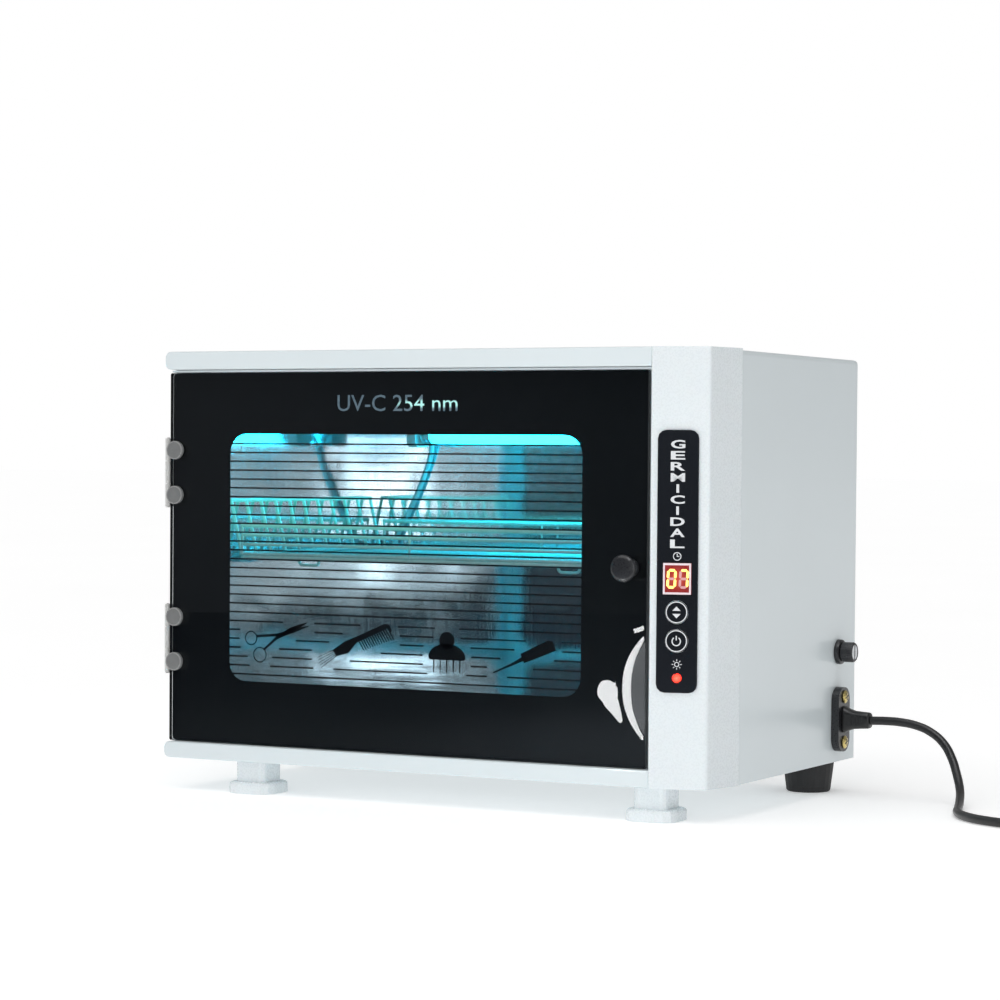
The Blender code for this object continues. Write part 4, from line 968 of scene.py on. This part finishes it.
def connector():
    """The connector's moulded grip, which tapers from the flange to the cord, with finger ribs."""
    y, z = INLET_Y, INLET_Z
    face = high_mm("inlet_socket").x + 0.35
    stations = (
        (face, 5.0, 8.4),
        (face + 0.6, 5.2, 8.5),
        (face + 1.8, 5.05, 7.7),
        (face + 4.0, 4.85, 6.8),
        (face + 7.0, 4.75, 5.85),
        (face + 11.0, 4.6, 5.5),
        (GRIP_END - 1.2, 4.5, 5.15),
        (GRIP_END - 0.4, 4.2, 4.8),
        (GRIP_END, 3.7, 4.3),
    )
    grip = Shape()
    rings = []
    for x, half_y, half_z in stations:
        corner = min(half_y, half_z) * 0.75
        ring = rounded(y - half_y, z - half_z, y + half_y, z + half_z, corner, 8)
        rings.append([(x, a, b) for a, b in ring])
    grip.rings(rings)
    for side in (-1, 1):
        for i in range(4):
            x = face + 6.4 + 2.4 * i
            wide = 4.62 - 0.06 * i
            grip.wire([(x, y + side * wide, z - 3.0), (x, y + side * wide, z + 3.0)], 0.42, 8)
    grip.slab(rounded(y - 4, z - 6, y + 4, z + 6, 3.2, 8), face - 11.2, face + 0.5, "X")
    stands_for = ["cord_connector"]
    return grip.build("connector_grip", LOOKS["cord_jacket"], "cabinet", "cord_jacket", stands_for, 40)


# ---------------------------------------------------------------- camera and mains lead

CORD_R = 2.75
LEAD_ROUTE = [
    (GRIP_END + 0.3, INLET_Y, INLET_Z),
    (420, INLET_Y, 48.5),
    (430, 189.3, 48.2),
    (441.5, 188.6, 46.5),
    (451.5, 187.6, 42.8),
    (460.3, 186.0, 36.4),
    (466.8, 183.0, 27.8),
    (472.0, 177.8, 18.6),
    (477.6, 168.2, 10.2),
    (483.2, 152.0, 4.6),
    (488.8, 133.5, CORD_R),
    (495.5, 113.5, CORD_R),
    (507.0, 96.0, CORD_R),
    (525.0, 82.5, CORD_R),
    (548.0, 75.3, CORD_R),
]
COIL = (575.0, 118.0)
COIL_LANES = [27.4, 33.0, 38.6]
COIL_LAYER = 5.6
PLUG_X, PLUG_Z = 619.3, 7.0


EYE = at(1077.887, -1549.189, 214.770)


def camera():
    """The camera, turned to the right and tipped a little down."""
    turn, tip, roll = math.radians(26.9216), math.radians(1.5435), math.radians(0.4693)
    ahead = Vector((-math.sin(turn) * math.cos(tip), math.cos(turn) * math.cos(tip), -math.sin(tip)))
    level = Vector((math.cos(turn), math.sin(turn), 0))
    up = level.cross(ahead)
    across = level * math.cos(roll) + up * math.sin(roll)
    above = up * math.cos(roll) - level * math.sin(roll)
    data = bpy.data.cameras.new("camera")
    data.lens = 104.31
    data.sensor_width = 36
    data.shift_x, data.shift_y = -0.0735, 0.0363
    made = bpy.data.objects.new("camera", data)
    made.matrix_world = Matrix((
        (across.x, above.x, -ahead.x, 0),
        (across.y, above.y, -ahead.y, 0),
        (across.z, above.z, -ahead.z, 0),
        (0, 0, 0, 1),
    ))
    made.location = EYE
    bpy.context.scene.collection.objects.link(made)
    bpy.context.scene.camera = made


def eased(value, start, end):
    """0 before start, 1 after end, and smooth between."""
    t = min(max((value - start) / (end - start), 0.0), 1.0)
    return t * t * (3 - 2 * t)


def coil_points():
    """The coil's centre line: three lanes inwards on the floor, a climb, and three lanes out on top."""
    middle, outer = COIL_LANES[1:]
    lane = outer - middle
    points = []
    start, end, step = -90, 1800, 22.5
    for i in range(round((end - start) / step) + 1):
        angle = start + i * step
        radius = outer + lane
        for turn in range(3):
            radius -= lane * eased(angle, -90 + 360 * turn, -45 + 360 * turn)
        climb = eased(angle, 930, 990)
        for turn in range(2):
            radius += lane * eased(angle, 1250 + 360 * turn, 1300 + 360 * turn)
        z = CORD_R + COIL_LAYER * climb
        way = math.radians(angle)
        points.append((COIL[0] + radius * math.cos(way), COIL[1] + radius * math.sin(way), z))
    return points


def mains_lead():
    """The lead from the connector, down to the floor, round its coil and into the plug."""
    points = LEAD_ROUTE + coil_points()
    last = points[-1]
    points += [(PLUG_X - 2.2, COIL[1] + 11, last[2] - 0.3), (PLUG_X, COIL[1] + 22, PLUG_Z)]
    curve = bpy.data.curves.new("mains_lead", "CURVE")
    curve.dimensions = "3D"
    curve.bevel_depth = CORD_R * MM
    curve.bevel_resolution = 4
    curve.resolution_u = 6
    curve.use_fill_caps = True
    line = curve.splines.new("BEZIER")
    line.bezier_points.add(len(points) - 1)
    for knot, point in zip(line.bezier_points, points):
        knot.co = at(*point)
        knot.handle_left_type = knot.handle_right_type = "AUTO"
    made = bpy.data.objects.new("mains_lead", curve)
    bpy.context.scene.collection.objects.link(made)
    curve.materials.append(LOOKS["cord_jacket"])
    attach(made, "cabinet")
    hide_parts("power_cord", "cord_coil")
    graph = bpy.context.evaluated_depsgraph_get()
    graph.update()
    length = 0.0
    for a, b in zip(points, points[1:]):
        length += (Vector(b) - Vector(a)).length * MM
    return made, length


def coil_tie():
    """A flat hook-and-loop strap round the coil's turns."""
    inner, outer = COIL_LANES[0] - CORD_R - 0.7, COIL_LANES[-1] + CORD_R + 0.7
    top = 2 * CORD_R + COIL_LAYER + 0.7
    strap = Shape()
    half = 5.0
    rings = []
    for x_end in (-half, half):
        rings.append([(COIL[0] + x_end, COIL[1] - a, b) for a, b in rounded(inner, 0, outer, top, 2.6)])
        rings.append([(COIL[0] + x_end, COIL[1] - a, b)
                      for a, b in rounded(inner + 0.6, 0.6, outer - 0.6, top - 0.6, 2.0)])
    strap.rings([rings[0], rings[2], rings[3], rings[1]], closed=True)
    return strap.build("coil_tie", LOOKS["cord_jacket"], "cabinet", "cord_jacket")


# ---------------------------------------------------------------- stage and light

FLOOR_GLOW = 0.31
RING_EDGE = 338.6
RING_MIDDLE = 78.5
RING_REACH = 0.040


def stage_floor():
    """A pale floor that runs well past the view; it is a lit sheet, so shadows on it stay faint."""
    made, tree, shader = blank("stage_floor")
    mottle = speckle(tree, 2, 2.0)
    shades = tinted(tree, mottle, (0.90, 0.90, 0.90), (0.915, 0.915, 0.915))
    tree.links.new(shades, shader.inputs["Base Color"])
    shader.inputs["Roughness"].default_value = 0.9
    shader.inputs["Specular IOR Level"].default_value = 0.0
    shader.inputs["Emission Color"].default_value = (1, 1, 1, 1)
    shader.inputs["Emission Strength"].default_value = FLOOR_GLOW
    reach = 30.0
    corners = [(-reach, -reach, 0), (reach, -reach, 0), (reach, reach, 0), (-reach, reach, 0)]
    stage_sheet("stage_floor", corners, made).location.z = -0.0002


def stage_sheet(name, corners, look):
    """A flat four-cornered sheet that isn't part of the object."""
    mesh = bpy.data.meshes.new(name)
    mesh.from_pydata(corners, [], [(0, 1, 2, 3)])
    mesh.materials.append(look)
    made = bpy.data.objects.new(name, mesh)
    bpy.context.scene.collection.objects.link(made)
    return made


def only_reflected(sheet, on_gloss=True, in_chamber=True):
    """Hides a sheet from everything but the outer gloss, or the chamber's mirrors behind the glass."""
    sheet.visible_camera = False
    sheet.visible_diffuse = False
    sheet.visible_shadow = False
    sheet.visible_glossy = on_gloss
    sheet.visible_transmission = in_chamber


def sun(name, toward, power, softness):
    """An even light from one direction, its softness in degrees."""
    data = bpy.data.lights.new(name, "SUN")
    data.energy = power
    data.angle = math.radians(softness)
    made = bpy.data.objects.new(name, data)
    made.rotation_euler = Vector(toward).to_track_quat("-Z", "Y").to_euler()
    bpy.context.scene.collection.objects.link(made)


def soft_light(name, place, power, size):
    """A square light aimed at the cabinet, which is neither seen nor reflected."""
    data = bpy.data.lights.new(name, "AREA")
    data.energy = power
    data.size = size
    made = bpy.data.objects.new(name, data)
    made.location = place
    aim = Vector((0.05, 0, 0.12)) - Vector(place)
    made.rotation_euler = aim.to_track_quat("-Z", "Y").to_euler()
    made.visible_glossy = False
    made.visible_transmission = False
    made.visible_camera = False
    bpy.context.scene.collection.objects.link(made)


def world():
    """An even white surround."""
    made = bpy.data.worlds.new("surround")
    made.use_nodes = True
    tree = made.node_tree
    plain = tree.nodes["Background"]
    plain.inputs["Color"].default_value = (1, 1, 1, 1)
    plain.inputs["Strength"].default_value = 1.0
    lit = tree.nodes.new("ShaderNodeBackground")
    lit.inputs["Strength"].default_value = 0.42
    rays = tree.nodes.new("ShaderNodeLightPath")
    mix = tree.nodes.new("ShaderNodeMixShader")
    tree.links.new(rays.outputs["Is Camera Ray"], mix.inputs["Fac"])
    tree.links.new(lit.outputs["Background"], mix.inputs[1])
    tree.links.new(plain.outputs["Background"], mix.inputs[2])
    tree.links.new(mix.outputs["Shader"], tree.nodes["World Output"].inputs["Surface"])
    bpy.context.scene.world = made


def card(name, low_glow, high_glow, fade):
    """A sheet's look: black cloth that glows from low_glow to high_glow as fade(tree) goes from 0 to 1."""
    made, tree, shader = blank(name)
    cloth = speckle(tree, 30)
    shades = tinted(tree, cloth, (0.004, 0.004, 0.005), (0.008, 0.008, 0.009))
    tree.links.new(shades, shader.inputs["Base Color"])
    shader.inputs["Roughness"].default_value = 1.0
    shader.inputs["Specular IOR Level"].default_value = 0.0
    mix = tree.nodes.new("ShaderNodeMix")
    mix.data_type = "RGBA"
    mix.inputs["A"].default_value = (*low_glow, 1.0)
    mix.inputs["B"].default_value = (*high_glow, 1.0)
    tree.links.new(fade(tree), mix.inputs["Factor"])
    tree.links.new(mix.outputs["Result"], shader.inputs["Emission Color"])
    shader.inputs["Emission Strength"].default_value = 1.0
    return made


def dark_flags():
    """Dark cloth standing in front and lying on the floor, which keeps the door's and the panel's gloss
    deep. Only the chamber's mirrors see the second pair, dark on the floor and paler high up."""
    left, right = (-3.4, -0.6), (1.5, -3.5)
    standing = [(*left, -0.1), (*right, -0.1), (*right, 2.6), (*left, 2.6)]
    lying = [(-0.5, -0.25, 0.002), (0.6, -0.25, 0.002), (*right, 0.002), (*left, 0.002)]
    look = card("dark_flag", (0.02, 0.024, 0.03), (0.12, 0.125, 0.14),
                lambda tree: near(tree, (-1.5, -1.7, 0.3), 0.1, 0.8))
    only_reflected(stage_sheet("dark_flag", standing, look), in_chamber=False)
    look = card("dark_floor_cloth", (0.01, 0.012, 0.02), (0.30, 0.34, 0.40),
                lambda tree: near(tree, (0.1, -0.6, 0.0), 0.1, 0.45))
    only_reflected(stage_sheet("dark_floor_cloth", lying, look), in_chamber=False)
    look = card("mirrored_flag", (0.30, 0.33, 0.37), (0.05, 0.055, 0.065),
                lambda tree: near(tree, (-1.0, -2.0, 0.0), 0.3, 1.3, (4, 4, 1)))
    only_reflected(stage_sheet("mirrored_flag", standing, look), on_gloss=False)
    look = card("mirrored_cloth", (0.02, 0.022, 0.03), (0.07, 0.08, 0.095),
                lambda tree: near(tree, (0.1, -0.9, 0.0), 0.1, 0.9))
    only_reflected(stage_sheet("mirrored_cloth", lying, look), on_gloss=False)


def bright_cards():
    """Pale sheets seen only in gloss and mirrors. The right one draws the light line down the column's
    corner, the high one lights gloss that faces up and to the right, and the one near the eye comes
    back from the chamber's mirror corners as white patches."""
    glow = card("bright_strip", (2.2, 2.3, 2.4), (3.2, 3.3, 3.4), lambda tree: speckle(tree, 3))
    right = [(2.2, -1.05, -0.1), (2.4, -0.35, -0.1), (2.4, -0.35, 1.6), (2.2, -1.05, 1.6)]
    only_reflected(stage_sheet("bright_right", right, glow))
    strong = card("bright_high", (7.0, 7.2, 7.4), (8.0, 8.2, 8.4), lambda tree: speckle(tree, 3))
    high = [(0.45, -0.95, 1.75), (0.95, -0.95, 1.75), (0.95, -0.45, 1.95), (0.45, -0.45, 1.95)]
    only_reflected(stage_sheet("bright_high", high, strong))
    flash = card("bright_flash", (4.6, 4.7, 4.8), (6.4, 6.5, 6.6), lambda tree: speckle(tree, 6))
    middle, across = at(1090, -1600, 0), Vector((0.891, 0.453, 0)) * 0.065
    corners = []
    for side, height in ((-1, 0.05), (1, 0.05), (1, 0.24), (-1, 0.24)):
        corners.append(tuple(middle + across * side + Vector((0, 0, height))))
    only_reflected(stage_sheet("bright_flash", corners, flash))


def ring_arc(middle, half_height, depth, low=-1.0, high=1.0, steps=28):
    """Points of a curve on the door glass that bows left from RING_EDGE, from high to low."""
    points = []
    for i in range(steps + 1):
        t = high + (low - high) * i / steps
        points.append((RING_EDGE - depth * (1 - abs(t) ** 2.3), middle + half_height * t))
    return points


def ring_reflection():
    """Bright curved shapes low in the door's right corner, mirrored from lit cards close in front of it.
    They are set out for a viewer at EYE, so from elsewhere they shift on the glass."""

    def in_front(x, z, reach):
        """The place, reach metres before the glass, that a viewer at EYE sees mirrored at x, z."""
        spot = at(x, 0, z)
        way = EYE - spot
        return spot + Vector((-way.x, way.y, -way.z)) * (reach / -way.y)

    bright = card("bright_ring", (19.0, 19.3, 19.6), (23.0, 23.3, 23.6), lambda tree: speckle(tree, 8))
    dim = card("dim_ring", (1.6, 1.7, 1.8), (4.6, 4.8, 5.0), lambda tree: speckle(tree, 22))
    band = ring_arc(RING_MIDDLE, 31.5, 14.0) + ring_arc(RING_MIDDLE, 28.0, 8.3)[::-1]
    inside = ring_arc(RING_MIDDLE, 27.0, 8.6) + [(RING_EDGE + 1.0, 51.0), (RING_EDGE + 1.0, 106.0)]
    dash = [(331.5, 113.4), (RING_EDGE, 116.0), (RING_EDGE, 113.2), (332.4, 110.8)]
    patch = circle(314.8, 75.6, 6.9, 32)
    tail = [(312.0, 68.0), (320.0, 82.0), (321.5, 72.5), (325.2, 58.6), (323.2, 57.2)]
    behind = RING_REACH + 0.001
    shapes = (("ring_band", band, bright, RING_REACH), ("ring_inside", inside, dim, behind),
              ("ring_dash", dash, bright, RING_REACH), ("ring_patch", patch, bright, RING_REACH),
              ("ring_tail", tail, bright, behind))
    for name, outline, look, reach in shapes:
        mesh = bpy.data.meshes.new(name)
        points = [tuple(in_front(x, z, reach)) for x, z in outline]
        mesh.from_pydata(points, [], [tuple(range(len(points)))])
        mesh.materials.append(look)
        made = bpy.data.objects.new(name, mesh)
        bpy.context.scene.collection.objects.link(made)
        only_reflected(made, in_chamber=False)


def main():
    camera()
    paint_nodes()
    lead, length = mains_lead()
    tie = coil_tie()
    grip = connector()
    window_print()
    door_word()
    door_backing()
    door_edge()
    door_knob()
    clamp_caps()
    panel_label()
    small_marks()
    buttons()
    digits()
    basket_bottom()
    basket_ends()
    basket_sides()
    lamp()
    fuse()
    inlet()
    rear_screws()
    stage_floor()
    world()
    dark_flags()
    bright_cards()
    ring_reflection()
    sun("overhead", (0.1, 0.28, -1.0), 1.36, 70)
    soft_light("front", (0.42, -1.45, 0.1), 5.6, 0.8)
    soft_light("low_front", (0.22, -0.55, 0.02), 0.36, 0.3)
    bpy.context.scene.view_settings.view_transform = "Standard"


main()
